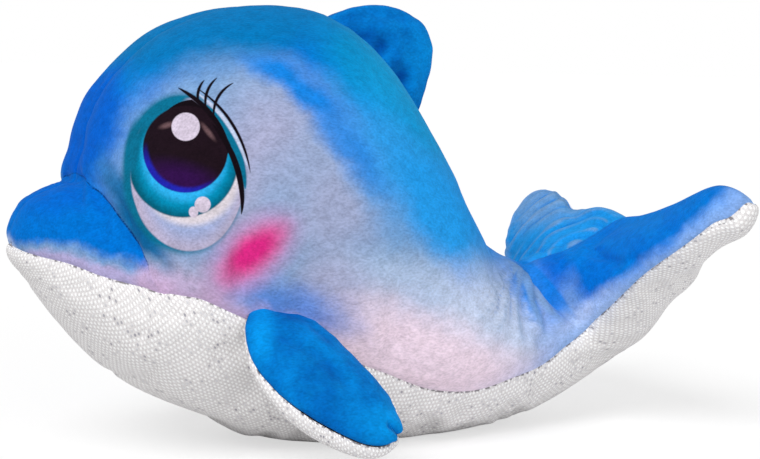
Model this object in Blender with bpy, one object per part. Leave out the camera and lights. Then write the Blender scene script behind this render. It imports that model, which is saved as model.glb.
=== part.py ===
"""A plush dolphin lying on its belly with its tail raised, about 0.42 m from beak to tail.

Two printed side panels meet along the back and run from the beak to the upper side of the
flukes. A pale belly panel runs from under the beak to the underside of the flukes. A dorsal fin
and two pectoral fins are sewn from two panels each. Every skin is a closed sheet of cloth round
its own fibre filling. X runs from beak to tail, the dolphin's left side is at -Y, +Z is up.
"""
import math

import bmesh
import bpy
import numpy as np
from mathutils import Vector

# All sizes below are in millimetres; MM turns them into metres. Cloth is the thickness of every
# skin, the gap parts neighbouring pieces. At a sharp edge a skin keeps its thickness up to a
# mitre of this many times, and a seam keeps its gap up to a step of this many half gaps.
MM = 0.001
CLOTH = 1.6
GAP = 0.3
MAX_MITRE = 2.5
MAX_SEAM_MITRE = 2.8

# Main sizes: beak tip to the ends of the flukes, floor to the top of the head, widest part of the
# body and across the flukes. The stations below give the shape, which is stretched to these.
BODY_LENGTH = 424.0
BODY_HEIGHT = 254.0
BODY_WIDTH = 186.0
FLUKE_SPAN = 258.0

# Rows of faces between two stations of the body, and columns from the back seam to the belly
# seam and from the belly seam to the middle of the belly.
ROWS_PER_STATION = 2
SIDE_COLUMNS = 10
BELLY_COLUMNS = 5

# The flukes fan out between these stations: their sections sweep out almost in a straight line,
# where those of the body curve back like a parabola.
FLUKE_STATIONS = (18, 22)
BODY_SWEEP_POWER = 2.0
FLUKE_SWEEP_POWER = 1.2

# Cross-sections of the body from the tip of the beak to the notch between the flukes. Each has
# the top, bottom and widest point seen from the side (x, z), the half width, the share of the
# height at which it is widest, the place of the belly seam (0 at the widest point, 1 at the
# bottom) and how square its upper and lower halves are (2 is an ellipse).
STATIONS = (
    ((-223, 124), (-223, 124), (-223, 124), 0, 0.50, 0.30, 2.0, 2.0),
    ((-221, 134), (-221, 115), (-217, 124), 20, 0.55, 0.28, 2.0, 2.0),
    ((-214, 146), (-210, 100), (-201, 119), 40, 0.60, 0.11, 2.0, 2.0),
    ((-203, 153), (-196, 82), (-185, 110), 54, 0.60, 0.01, 2.0, 2.0),
    ((-191, 157), (-178, 62), (-167, 101), 66, 0.59, -0.04, 2.0, 2.0),
    ((-184, 161), (-168, 53), (-159, 99), 73, 0.57, -0.02, 2.1, 2.0),
    ((-181, 175), (-160, 48), (-154, 105), 78, 0.54, 0.04, 2.1, 2.1),
    ((-176, 194), (-150, 41), (-147, 113), 82, 0.52, 0.11, 2.1, 2.1),
    ((-162, 217), (-136, 33), (-139, 124), 87, 0.50, 0.18, 2.1, 2.1),
    ((-135, 239), (-114, 22), (-121, 132), 91, 0.49, 0.25, 2.2, 2.1),
    ((-100, 252), (-88, 10), (-94, 132), 93, 0.49, 0.27, 2.1, 2.2),
    ((-65, 254), (-60, 2), (-63, 127), 93, 0.50, 0.30, 2.1, 2.3),
    ((-36, 247), (-30, 0), (-33, 117), 90, 0.52, 0.33, 2.1, 2.4),
    ((-8, 226), (4, 0), (-2, 102), 85, 0.54, 0.38, 2.0, 2.4),
    ((13, 195), (36, 1), (27, 87), 77, 0.55, 0.38, 2.0, 2.3),
    ((31, 160), (68, 6), (51, 74), 67, 0.55, 0.31, 2.0, 2.2),
    ((49, 130), (94, 14), (74, 66), 56, 0.54, 0.25, 1.9, 2.1),
    ((73, 109), (118, 24), (97, 63), 48, 0.52, 0.12, 2.0, 2.1),
    ((94, 103), (140, 35), (113, 63), 42, 0.50, 0.04, 2.0, 2.0),
    ((106, 104), (158, 46), (119, 68), 47, 0.40, 0.00, 2.0, 2.0),
    ((118, 107), (175, 57), (124, 79), 64, 0.35, 0.00, 2.0, 2.0),
    ((129, 110), (188, 68), (130, 93), 88, 0.32, 0.00, 1.9, 1.9),
    ((140, 115), (197, 80), (139, 109), 108, 0.32, 0.00, 2.0, 2.0),
    ((151, 120), (201, 93), (152, 126), 123, 0.32, 0.00, 2.2, 2.2),
    ((163, 126), (199, 105), (170, 143), 129, 0.40, 0.00, 2.4, 2.4),
    ((179, 120), (179, 120), (185, 146), 118, 0.50, 0.00, 2.4, 2.4),
)

# The part of the body below this height is pressed flat by the floor.
FLOOR = 4.0

# The cloth folds in where the tail bends up: station, depth and half width of the fold in
# stations. It is deepest halfway down the side panel, keeps this share of its depth at the back
# seam, and is gone at the belly seam.
TAIL_FOLD = (18.0, 6.0, 0.4)
FOLD_AT_BACK = 0.35

# The left fluke is carried a little higher than the right one. The lift grows where the flukes
# fan out, and between these shares of the half span.
FLUKE_LIFT_LEFT = 6.0
FLUKE_LIFT_RIGHT = -8.0
LIFT_SHARES = (0.08, 0.78)

# The fins' lengths, their seam outlines, stretched to these, and how far their two sides puff out
# from the seam. The dorsal fin stands in the middle plane: its outline is (along X, up) from the
# back at its own station.
DORSAL_LENGTH = 79.0
DORSAL_STATION = 13.0
DORSAL_OUTLINE = ((-37, 14), (-23, 25), (0, 31), (21, 28), (36, 20), (42, 5),
                  (40, -13), (34, -30), (25, -44), (11, -36), (-6, -12), (-26, 6))
DORSAL_PUFF = (12.0, 12.0)

# The pectoral fin is sewn in at the belly seam, at a station of its own, its root tucked in past
# the seam. It lies in its own plane: the way to the tip and the way its outer side faces are
# those of the left fin, and the outline is (along, across) that plane from the fin's middle.
PECTORAL_LENGTH = 106.0
PECTORAL_STATION = 9.5
PECTORAL_TUCK = 8.0
PECTORAL_ALONG = (0.66, -0.42, -0.62)
PECTORAL_FACING = (0.08, -0.78, 0.62)
PECTORAL_OUTLINE = ((53, 2), (47, 17), (28, 25), (0, 27), (-28, 26), (-47, 19),
                    (-53, 0), (-46, -20), (-28, -26), (0, -27), (28, -25), (46, -18))
PECTORAL_PUFF = (10.0, 14.0)

# Faces round and across the ball that each fin is shaped from.
FIN_SEGMENTS = 18
FIN_RINGS = 8

# Colours (linear) and roughness of the cloths and of the filling.
LOOKS = {
    "printed_plush": ((0.16, 0.42, 0.74), 0.85),
    "fin_plush": ((0.02, 0.22, 0.62), 0.85),
    "foil_dot_fabric": ((0.74, 0.72, 0.73), 0.60),
    "fibre_fill": ((0.85, 0.85, 0.85), 0.95),
}

LEFT, RIGHT, BELLY = range(3)
TOP_SIDE, UNDER_SIDE = range(2)


def clear_scene():
    """Remove whatever the scene holds."""
    for thing in list(bpy.data.objects):
        bpy.data.objects.remove(thing, do_unlink=True)


def make_collection(name):
    """Add a collection to the scene."""
    group = bpy.data.collections.new(name)
    bpy.context.scene.collection.children.link(group)
    return group


def make_material(slot):
    """Make the plain material of one cloth or of the filling."""
    colour, roughness = LOOKS[slot]
    material = bpy.data.materials.new(slot)
    material.use_nodes = True
    shader = material.node_tree.nodes["Principled BSDF"]
    shader.inputs["Base Color"].default_value = (*colour, 1.0)
    shader.inputs["Roughness"].default_value = roughness
    shader.inputs["Metallic"].default_value = 0.0
    material.diffuse_color = (*colour, 1.0)
    return material


def smooth_step(value, start, end):
    """Rise smoothly from 0 at start to 1 at end."""
    share = min(max((value - start) / (end - start), 0.0), 1.0)
    return share * share * (3.0 - 2.0 * share)


def curve_point(before, start, end, after, share):
    """Point on a smooth curve from start to end that knows its neighbours."""
    straight = end - before
    bend = 2.0 * before - 5.0 * start + 4.0 * end - after
    twist = 3.0 * start - before - 3.0 * end + after
    return start + 0.5 * (straight * share + bend * share ** 2 + twist * share ** 3)


def station_table():
    """Numbers of all stations, stretched to the main sizes."""
    table = np.array([[*top, *bottom, *widest, *rest] for top, bottom, widest, *rest in STATIONS],
                     float)
    along, up, half_width = table[:, 0:6:2], table[:, 1:6:2], table[:, 6]
    along *= BODY_LENGTH / np.ptp(along)
    up *= BODY_HEIGHT / np.ptp(up)
    body_stretch = BODY_WIDTH / 2.0 / half_width[:FLUKE_STATIONS[0]].max()
    fluke_stretch = FLUKE_SPAN / 2.0 / half_width[FLUKE_STATIONS[1]:].max()
    for station in range(len(table)):
        fanned = smooth_step(station, *FLUKE_STATIONS)
        half_width[station] *= body_stretch + (fluke_stretch - body_stretch) * fanned
    return table


def section_at(place):
    """Numbers of the section at a place between the stations, which are 0, 1, 2 and so on."""
    table = station_table()
    last = len(table) - 1
    start = min(int(place), last - 1)
    near = [table[min(max(start + offset, 0), last)] for offset in (-1, 0, 1, 2)]
    return curve_point(*near, place - start)


def body_rows():
    """Places and sections of all rows of the body."""
    count = (len(STATIONS) - 1) * ROWS_PER_STATION + 1
    places = [number / ROWS_PER_STATION for number in range(count)]
    return [(place, section_at(place)) for place in places]


def section_point(place, row, turn):
    """Point of a section at a turn of 0 at the top, 1 at the widest point, 2 at the bottom."""
    top, bottom, widest = row[0:2], row[2:4], row[4:6]
    half_width, level, _, square_top, square_bottom = row[6:11]
    if turn <= 1.0:
        angle = turn * math.pi / 2.0
        out = math.sin(angle) ** (2.0 / square_top)
        down = level * (1.0 - max(math.cos(angle), 0.0) ** (2.0 / square_top))
    else:
        angle = (turn - 1.0) * math.pi / 2.0
        out = max(math.cos(angle), 0.0) ** (2.0 / square_bottom)
        down = level + (1.0 - level) * math.sin(angle) ** (2.0 / square_bottom)
    fanned = smooth_step(place, *FLUKE_STATIONS)
    power = BODY_SWEEP_POWER + (FLUKE_SWEEP_POWER - BODY_SWEEP_POWER) * fanned
    sweep = widest - (top + (bottom - top) * level)
    x, z = top + (bottom - top) * down + sweep * out ** power
    return Vector((x, -half_width * out, z))


def column_turn(row, column):
    """Turn of a column: the belly seam falls on the column SIDE_COLUMNS."""
    seam_turn = 1.0 + row[8]
    if column <= SIDE_COLUMNS:
        return seam_turn * column / SIDE_COLUMNS
    return seam_turn + (2.0 - seam_turn) * (column - SIDE_COLUMNS) / BELLY_COLUMNS


def fold_depth(place, column):
    """How far the tail fold pulls the cloth in."""
    station, depth, half_width = TAIL_FOLD
    if column >= SIDE_COLUMNS:
        return 0.0
    along = math.exp(-((place - station) / half_width) ** 2)
    halfway = (1.0 - math.cos(math.tau * column / SIDE_COLUMNS)) / 2.0
    return depth * along * max(halfway, FOLD_AT_BACK * (1.0 - column / SIDE_COLUMNS))


def posed(point, place):
    """Lay the belly flat on the floor, and carry the two flukes at their own heights."""
    lift = FLUKE_LIFT_LEFT if point.y < 0.0 else FLUKE_LIFT_RIGHT
    fanned = smooth_step(place, *FLUKE_STATIONS)
    out = smooth_step(abs(point.y) / (FLUKE_SPAN / 2.0), *LIFT_SHARES)
    return Vector((point.x, point.y, max(point.z + lift * fanned * out, FLOOR)))


def body_surface():
    """Closed outer surface of the body, its faces labelled by panel in material_index."""
    surface = bmesh.new()
    rows = body_rows()
    last_column = SIDE_COLUMNS + BELLY_COLUMNS
    grid = {}
    for number, (place, row) in enumerate(rows):
        for side in (LEFT, RIGHT):
            for column in range(last_column + 1):
                grid[number, side, column] = body_vertex(surface, grid, rows, number, side, column)
    for number in range(len(rows) - 1):
        for side in (LEFT, RIGHT):
            for column in range(last_column):
                add_body_face(surface, grid, number, side, column, number == len(rows) - 2)
    surface.normal_update()
    bmesh.ops.recalc_face_normals(surface, faces=surface.faces)
    surface.normal_update()
    fold_tail(surface, grid, rows)
    bmesh.ops.triangulate(surface, faces=surface.faces)
    surface.normal_update()
    return surface


def body_vertex(surface, grid, rows, number, side, column):
    """Vertex of the body grid, shared at the tip, on the middle plane and at the tail's edge."""
    place, row = rows[number]
    if number == 0 and (0, LEFT, 0) in grid:
        return grid[0, LEFT, 0]
    if number == len(rows) - 1 and column > SIDE_COLUMNS:
        share = (column - SIDE_COLUMNS) / BELLY_COLUMNS
        return grid[number, side, round(SIDE_COLUMNS * (1.0 - share))]
    if side == RIGHT and column in (0, SIDE_COLUMNS + BELLY_COLUMNS):
        return grid[number, LEFT, column]
    point = section_point(place, row, column_turn(row, column))
    if side == RIGHT:
        point.y = -point.y
    return surface.verts.new(posed(point, place) * MM)


def add_body_face(surface, grid, number, side, column, at_tail):
    """Face between two rows and two columns, with the tail edge's extra vertex on the belly."""
    corners = [grid[number, side, column], grid[number, side, column + 1],
               grid[number + 1, side, column + 1], grid[number + 1, side, column]]
    if at_tail and column >= SIDE_COLUMNS:
        between = SIDE_COLUMNS * (1.0 - (column - SIDE_COLUMNS + 0.5) / BELLY_COLUMNS)
        corners.insert(3, grid[number + 1, side, round(between)])
    different = []
    for corner in corners:
        if corner not in different:
            different.append(corner)
    if side == RIGHT:
        different.reverse()
    face = surface.faces.new(different)
    face.material_index = BELLY if column >= SIDE_COLUMNS else side


def fold_tail(surface, grid, rows):
    """Press the tail fold into the two side panels."""
    for number, (place, _) in enumerate(rows):
        for side in (LEFT, RIGHT):
            for column in range(0 if side == LEFT else 1, SIDE_COLUMNS):
                vertex = grid[number, side, column]
                vertex.co -= vertex.normal * fold_depth(place, column) * MM


def closed_curve(points, count):
    """Evenly numbered points on a smooth closed curve through the given ones."""
    ring = [np.array(point, float) for point in points]
    result = []
    for index in range(count):
        place = index * len(ring) / count
        start = int(place)
        near = [ring[(start + offset) % len(ring)] for offset in (-1, 0, 1, 2)]
        result.append(curve_point(*near, place - start))
    return result


def stretched(outline, length):
    """Outline stretched to a length along its first direction."""
    drawn = max(point[0] for point in outline) - min(point[0] for point in outline)
    return [(point[0] * length / drawn, point[1] * length / drawn) for point in outline]


def fin_surface(outline, puff, centre, along, across, facing):
    """Closed pillow with its seam on the outline, its two sides labelled in material_index."""
    surface = bmesh.new()
    bmesh.ops.create_uvsphere(surface, u_segments=FIN_SEGMENTS, v_segments=FIN_RINGS, radius=1.0)
    seam = closed_curve(outline, FIN_SEGMENTS)
    middle = sum(seam) / len(seam)
    winding = 1.0 if outline_area(seam) > 0.0 else -1.0
    for vertex in surface.verts:
        reach = math.hypot(vertex.co.x, vertex.co.y)
        turn = math.atan2(vertex.co.y, vertex.co.x) / math.tau * FIN_SEGMENTS
        edge = seam[math.floor(turn) % FIN_SEGMENTS]
        flat = middle + (edge - middle) * reach
        height = vertex.co.z * winding
        height *= puff[TOP_SIDE] if height > 0.0 else puff[UNDER_SIDE]
        vertex.co = (centre + along * flat[0] + across * flat[1] + facing * height) * MM
    for face in surface.faces:
        outward = (face.calc_center_median() / MM - centre).dot(facing)
        face.material_index = TOP_SIDE if outward > 0.0 else UNDER_SIDE
    surface.normal_update()
    bmesh.ops.recalc_face_normals(surface, faces=surface.faces)
    bmesh.ops.triangulate(surface, faces=surface.faces)
    surface.normal_update()
    return surface


def outline_area(points):
    """Signed area of a closed outline."""
    total = 0.0
    for index, point in enumerate(points):
        other = points[(index + 1) % len(points)]
        total += point[0] * other[1] - other[0] * point[1]
    return total / 2.0


def inward(vertex, depth):
    """Point at a depth below a surface, measured square to its faces."""
    mitre = min(vertex.calc_shell_factor(), MAX_MITRE)
    return vertex.co - vertex.normal * depth * mitre * MM


def seam_offset(vertex, panel):
    """Step that holds a panel's edge half a gap away from the seam."""
    steps = []
    for edge in vertex.link_edges:
        own = [face for face in edge.link_faces if face.material_index == panel]
        if len(own) != 1:
            continue
        tangent = edge.other_vert(vertex).co - vertex.co
        step = vertex.normal.cross(tangent).normalized()
        if step.dot(own[0].calc_center_median() - vertex.co) < 0.0:
            step.negate()
        steps.append(step)
    if not steps:
        return Vector((0.0, 0.0, 0.0))
    total = sum(steps, Vector((0.0, 0.0, 0.0)))
    mitre = len(steps) / max(total.length, len(steps) / MAX_SEAM_MITRE)
    return total.normalized() * (GAP / 2.0 * MM) * mitre


def add_object(name, mesh_source, group, slot):
    """Make a smooth object of one material from a bmesh."""
    mesh = bpy.data.meshes.new(name)
    mesh_source.to_mesh(mesh)
    mesh_source.free()
    mesh.materials.append(bpy.data.materials.get(slot) or make_material(slot))
    mesh.polygons.foreach_set("use_smooth", [True] * len(mesh.polygons))
    mesh.polygons.foreach_set("material_index", [0] * len(mesh.polygons))
    thing = bpy.data.objects.new(name, mesh)
    group.objects.link(thing)
    return thing


def add_panel(name, surface, panel, group, slot):
    """Closed sheet of cloth over the labelled faces of a surface."""
    sheet = bmesh.new()
    outer = {}
    inner = {}
    faces = [face for face in surface.faces if face.material_index == panel]
    for vertex in {corner for face in faces for corner in face.verts}:
        offset = seam_offset(vertex, panel)
        outer[vertex] = sheet.verts.new(vertex.co + offset)
        inner[vertex] = sheet.verts.new(inward(vertex, CLOTH) + offset)
    for face in faces:
        sheet.faces.new([outer[corner] for corner in face.verts])
        sheet.faces.new([inner[corner] for corner in reversed(face.verts)])
        for loop in face.loops:
            if any(other.material_index != panel for other in loop.edge.link_faces):
                start, end = loop.vert, loop.link_loop_next.vert
                sheet.faces.new([outer[end], outer[start], inner[start], inner[end]])
    return add_object(name, sheet, group, slot)


def add_filling(name, surface, group):
    """Fibre filling, a gap inside the cloth."""
    fill = surface.copy()
    for vertex in fill.verts:
        vertex.co = inward(vertex, CLOTH + GAP)
    fill.normal_update()
    return add_object(name, fill, group, "fibre_fill")


def add_cutter(surface, group):
    """Body surface grown by a gap, which trims the roots of the fins."""
    grown = surface.copy()
    for vertex in grown.verts:
        vertex.co = inward(vertex, -GAP)
    cutter = add_object("body_trim", grown, group, "fibre_fill")
    cutter.hide_render = True
    cutter.display_type = "WIRE"
    return cutter


def trim(thing, cutter):
    """Cut a fin piece where it meets the body."""
    cut = thing.modifiers.new("Meet the body", "BOOLEAN")
    cut.operation = "DIFFERENCE"
    cut.solver = "EXACT"
    cut.object = cutter


def add_fin(name, sides, slots, surface, group, cutter):
    """Two panels and the filling of one fin, trimmed at the root."""
    for label, (side, slot) in enumerate(zip(sides, slots)):
        trim(add_panel(f"{name}_{side}", surface, label, group, slot), cutter)
    trim(add_filling(f"{name}_stuffing", surface, group), cutter)
    surface.free()


def add_dorsal_fin(group, cutter):
    """Dorsal fin in the middle plane, plush on both sides."""
    back = section_point(DORSAL_STATION, section_at(DORSAL_STATION), 0.0)
    surface = fin_surface(stretched(DORSAL_OUTLINE, DORSAL_LENGTH), DORSAL_PUFF, back,
                          Vector((1, 0, 0)), Vector((0, 0, 1)), Vector((0, -1, 0)))
    add_fin("dorsal_fin", ("left_panel", "right_panel"), ("fin_plush", "fin_plush"),
            surface, group, cutter)


def add_pectoral_fin(side, group, cutter):
    """Pectoral fin on one side: plush on its outer face, pale fabric underneath."""
    mirror = Vector((1, 1 if side == "left" else -1, 1))
    along = (Vector(PECTORAL_ALONG) * mirror).normalized()
    facing = Vector(PECTORAL_FACING) * mirror
    facing = (facing - along * facing.dot(along)).normalized()
    across = facing.cross(along) if side == "left" else along.cross(facing)
    section = section_at(PECTORAL_STATION)
    seam = section_point(PECTORAL_STATION, section, column_turn(section, SIDE_COLUMNS)) * mirror
    middle = seam + along * (PECTORAL_LENGTH / 2.0 - PECTORAL_TUCK)
    outline = stretched(PECTORAL_OUTLINE, PECTORAL_LENGTH)
    surface = fin_surface(outline, PECTORAL_PUFF, middle, along, across, facing)
    add_fin(f"pectoral_fin_{side}", ("top", "underside"), ("fin_plush", "foil_dot_fabric"),
            surface, group, cutter)


def stand_on_origin(surface, things):
    """Move everything so that the origin is under the middle of the body, on the floor."""
    ends = [vertex.co.x for vertex in surface.verts]
    middle = (min(ends) + max(ends)) / 2.0
    for thing in things:
        thing.location = (-middle, 0.0, -FLOOR * MM)


def build():
    """Build the dolphin."""
    clear_scene()
    group = make_collection("plush_dolphin")
    cutters = make_collection("cutters")
    surface = body_surface()
    add_panel("side_panel_left", surface, LEFT, group, "printed_plush")
    add_panel("side_panel_right", surface, RIGHT, group, "printed_plush")
    add_panel("belly_panel", surface, BELLY, group, "foil_dot_fabric")
    add_filling("body_stuffing", surface, group)
    cutter = add_cutter(surface, cutters)
    add_dorsal_fin(group, cutter)
    for side in ("left", "right"):
        add_pectoral_fin(side, group, cutter)
    stand_on_origin(surface, [*group.objects, *cutters.objects])
    surface.free()


build()
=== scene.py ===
# %% [markdown]
# A stuffed dolphin, about 0.42 m long, that lies on its belly with its tail raised. Two plush
# panels with a soft blue, lilac and pink print make its sides, and a pale knit with small silver
# foil dots makes its belly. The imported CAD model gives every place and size. Here each skin gets
# its real form, with rolled seams, folds and puckers, and its cloth.

# %% Load the fixed frame
import math

import bmesh
import bpy
import numpy as np
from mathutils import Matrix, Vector, noise
from mathutils.bvhtree import BVHTree


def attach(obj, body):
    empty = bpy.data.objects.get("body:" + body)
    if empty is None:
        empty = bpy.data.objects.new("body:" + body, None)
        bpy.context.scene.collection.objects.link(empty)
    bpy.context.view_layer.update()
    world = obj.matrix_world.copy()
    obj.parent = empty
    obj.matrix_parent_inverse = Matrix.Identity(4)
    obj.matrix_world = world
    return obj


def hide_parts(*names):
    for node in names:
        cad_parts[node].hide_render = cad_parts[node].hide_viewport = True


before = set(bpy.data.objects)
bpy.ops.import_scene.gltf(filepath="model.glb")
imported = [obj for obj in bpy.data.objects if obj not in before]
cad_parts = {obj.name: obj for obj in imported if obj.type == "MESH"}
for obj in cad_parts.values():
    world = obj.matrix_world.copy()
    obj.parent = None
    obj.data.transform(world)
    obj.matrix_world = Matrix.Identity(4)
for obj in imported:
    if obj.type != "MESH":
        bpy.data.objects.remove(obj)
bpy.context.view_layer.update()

MM = 0.001

# %% [markdown]
# The camera stands low in front of the dolphin's left cheek, a long lens away, so the near fluke
# hardly looks larger than the far one. It comes first, because the print on the plush is laid out
# as seen from here: a point of the cloth knows at which photo pixel it is seen.

# %% The camera at the photo's angle
PHOTO_WIDTH, PHOTO_HEIGHT = 760, 459
AZIMUTH, ELEVATION = math.radians(-23.0), math.radians(5.0)
CAMERA_DISTANCE = 1.2
CAMERA_AIM = Vector((0.011, 0.0, 0.120))
LENS_MM, SENSOR_MM = 96.06, 36.0

camera_back = Vector((math.sin(AZIMUTH) * math.cos(ELEVATION),
                      -math.cos(AZIMUTH) * math.cos(ELEVATION), math.sin(ELEVATION)))
camera_right = Vector((math.cos(AZIMUTH), math.sin(AZIMUTH), 0.0))
camera_up = camera_back.cross(camera_right)
camera_place = CAMERA_AIM + camera_back * CAMERA_DISTANCE

camera = bpy.data.objects.new("camera", bpy.data.cameras.new("camera"))
bpy.context.scene.collection.objects.link(camera)
camera.data.lens = LENS_MM
camera.data.sensor_width = SENSOR_MM
camera.location = camera_place
camera.rotation_euler = (-camera_back).to_track_quat("-Z", "Y").to_euler()
bpy.context.scene.camera = camera


def photo_place(points):
    """Photo pixels at which the camera sees points given in metres."""
    seen = np.asarray(points) - np.array(camera_place)
    depth = -(seen @ np.array(camera_back))
    focal = LENS_MM / SENSOR_MM * PHOTO_WIDTH
    across = PHOTO_WIDTH / 2 + focal * (seen @ np.array(camera_right)) / depth
    down = PHOTO_HEIGHT / 2 - focal * (seen @ np.array(camera_up)) / depth
    return np.stack([across, down], axis=-1)


print("camera at", [round(c, 3) for c in camera_place])

# %% [markdown]
# The body is a loft through the same sections that the CAD model has, only with many more rows
# and columns, so that there is cloth enough to fold. Only the ends of the flukes are a little
# thinner and blunter here, as they look on the real toy. Each section has a top, a bottom, a
# widest point and the place of the belly seam. The sizes are in millimetres, as they are in the
# source of the part, and SHIFT moves them to the frame's origin on the floor.

# %% Sections of the body
SHIFT = Vector((11.0, 0.0, -4.0))
FLOOR = 4.0
FLUKE_STATIONS = (18, 22)
BODY_SWEEP, FLUKE_SWEEP = 2.0, 1.2
LIFT_LEFT, LIFT_RIGHT = 6.0, -8.0
HALF_SPAN = 129.0
LIFT_SHARES = (0.08, 0.78)

# Top, bottom and widest point (along, up), half width, level of the widest point, place of the
# seam below it, and how square the upper and lower halves are.
SECTIONS = np.array([
    (-223, 124, -223, 124, -223, 124, 0, 0.50, 0.30, 2.0, 2.0),
    (-221, 134, -221, 115, -217, 124, 20, 0.55, 0.28, 2.0, 2.0),
    (-214, 146, -210, 100, -201, 119, 40, 0.60, 0.11, 2.0, 2.0),
    (-203, 153, -196, 82, -185, 110, 54, 0.60, 0.01, 2.0, 2.0),
    (-191, 157, -178, 62, -167, 101, 66, 0.59, -0.04, 2.0, 2.0),
    (-184, 161, -168, 53, -159, 99, 73, 0.57, -0.02, 2.1, 2.0),
    (-181, 175, -160, 48, -154, 105, 78, 0.54, 0.04, 2.1, 2.1),
    (-176, 194, -150, 41, -147, 113, 82, 0.52, 0.11, 2.1, 2.1),
    (-162, 217, -136, 33, -139, 124, 87, 0.50, 0.18, 2.1, 2.1),
    (-135, 239, -114, 22, -121, 132, 91, 0.49, 0.25, 2.2, 2.1),
    (-100, 252, -88, 10, -94, 132, 93, 0.49, 0.27, 2.1, 2.2),
    (-65, 254, -60, 2, -63, 127, 93, 0.50, 0.30, 2.1, 2.3),
    (-36, 247, -30, 0, -33, 117, 90, 0.52, 0.33, 2.1, 2.4),
    (-8, 226, 4, 0, -2, 102, 85, 0.54, 0.38, 2.0, 2.4),
    (13, 195, 36, 1, 27, 87, 77, 0.55, 0.38, 2.0, 2.3),
    (31, 160, 68, 6, 51, 74, 67, 0.55, 0.31, 2.0, 2.2),
    (49, 130, 94, 14, 74, 66, 56, 0.54, 0.25, 1.9, 2.1),
    (73, 109, 118, 24, 97, 63, 48, 0.52, 0.12, 2.0, 2.1),
    (94, 103, 140, 35, 113, 63, 42, 0.50, 0.04, 2.0, 2.0),
    (106, 104, 158, 46, 119, 68, 47, 0.40, 0.00, 2.0, 2.0),
    (118, 107, 175, 57, 124, 79, 64, 0.35, 0.00, 2.0, 2.0),
    (129, 110, 185, 70, 130, 93, 88, 0.32, 0.00, 1.9, 1.9),
    (140, 115, 193, 83, 139, 109, 108, 0.32, 0.00, 2.1, 2.0),
    (151, 121, 195, 97, 152, 124, 122, 0.32, 0.00, 2.6, 2.1),
    (163, 126, 192, 109, 170, 139, 127, 0.40, 0.00, 3.4, 2.6),
    (178, 121, 178, 121, 184, 137, 112, 0.50, 0.00, 3.4, 3.0),
], float)


def smooth_step(value, start, end):
    """Rise smoothly from 0 at start to 1 at end."""
    share = np.clip((value - start) / (end - start), 0.0, 1.0)
    return share * share * (3.0 - 2.0 * share)


def curve_point(before, start, end, after, share):
    """Point on a smooth curve from start to end that knows its neighbours."""
    straight = end - before
    bend = 2.0 * before - 5.0 * start + 4.0 * end - after
    twist = 3.0 * start - before - 3.0 * end + after
    return start + 0.5 * (straight * share + bend * share ** 2 + twist * share ** 3)


def section_at(place):
    """Numbers of the section at a place between the stations."""
    last = len(SECTIONS) - 1
    start = min(int(place), last - 1)
    near = [SECTIONS[min(max(start + offset, 0), last)] for offset in (-1, 0, 1, 2)]
    return curve_point(*near, place - start)


def section_points(place, section, turn):
    """Points of a section at turns from 0 at the top over 1 at the widest to 2 at the bottom."""
    top, bottom, widest = section[0:2], section[2:4], section[4:6]
    half_width, level, _, square_top, square_bottom = section[6:11]
    angle = np.minimum(turn, 1.0) * math.pi / 2.0
    upper_out = np.sin(angle) ** (2.0 / square_top)
    upper_down = level * (1.0 - np.maximum(np.cos(angle), 0.0) ** (2.0 / square_top))
    angle = np.clip(turn - 1.0, 0.0, 1.0) * math.pi / 2.0
    lower_out = np.maximum(np.cos(angle), 0.0) ** (2.0 / square_bottom)
    lower_down = level + (1.0 - level) * np.sin(angle) ** (2.0 / square_bottom)
    out = np.where(turn <= 1.0, upper_out, lower_out)
    down = np.where(turn <= 1.0, upper_down, lower_down)
    fanned = smooth_step(place, *FLUKE_STATIONS)
    power = BODY_SWEEP + (FLUKE_SWEEP - BODY_SWEEP) * fanned
    sweep = widest - (top + (bottom - top) * level)
    profile = top + (bottom - top) * down[:, None] + sweep * out[:, None] ** power
    return np.stack([profile[:, 0], -half_width * out, profile[:, 1]], axis=-1)


print(len(SECTIONS), "sections from the beak to the tail notch")

# %% [markdown]
# The rows run evenly from beak to tail. The columns crowd together at the seams, because a seam
# is a narrow rolled groove, and a wide mesh would lose it. Every vertex keeps what its folds will
# need later: its row, its share of the way from seam to seam, and its distance from both seams.

# %% Grid of the body
ROWS_PER_STATION = 12
SIDE_COLUMNS, BELLY_COLUMNS = 84, 40
SIDE_CROWDING, BELLY_CROWDING = 0.13, 1.5
FLOOR_EDGE_MM = 2.0


def crowded(count, both_ends):
    """Shares from 0 to 1 that crowd together at the end 0, or at both ends."""
    even = np.linspace(0.0, 1.0, count + 1)
    if both_ends:
        return even - SIDE_CROWDING * np.sin(math.tau * even)
    return even ** BELLY_CROWDING


def laid_flat(points):
    """Press the underside flat on the floor with a soft edge."""
    above = points[..., 2] - FLOOR
    points[..., 2] = FLOOR + (above + np.sqrt(above ** 2 + FLOOR_EDGE_MM ** 2)) / 2.0
    return points


def half_body(lift):
    """Rows of points of the left half, from the back seam to the middle of the belly."""
    places = np.linspace(0.0, len(SECTIONS) - 1.0, (len(SECTIONS) - 1) * ROWS_PER_STATION + 1)
    side_shares, belly_shares = crowded(SIDE_COLUMNS, True), crowded(BELLY_COLUMNS, False)
    rows = []
    for place in places:
        section = section_at(place)
        seam = 1.0 + section[8]
        turns = np.concatenate([seam * side_shares, (seam + (2.0 - seam) * belly_shares)[1:]])
        rows.append(section_points(place, section, turns))
    points = np.array(rows)
    fanned = smooth_step(places, *FLUKE_STATIONS)[:, None]
    out = smooth_step(np.abs(points[..., 1]) / HALF_SPAN, *LIFT_SHARES)
    points[..., 2] += lift * fanned * out
    return places, np.concatenate([side_shares, belly_shares[1:]]), laid_flat(points)


places, shares, left_half = half_body(LIFT_LEFT)
_, _, right_half = half_body(LIFT_RIGHT)
right_half[..., 1] *= -1.0
print("rows and columns of one half:", left_half.shape[:2])

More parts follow.
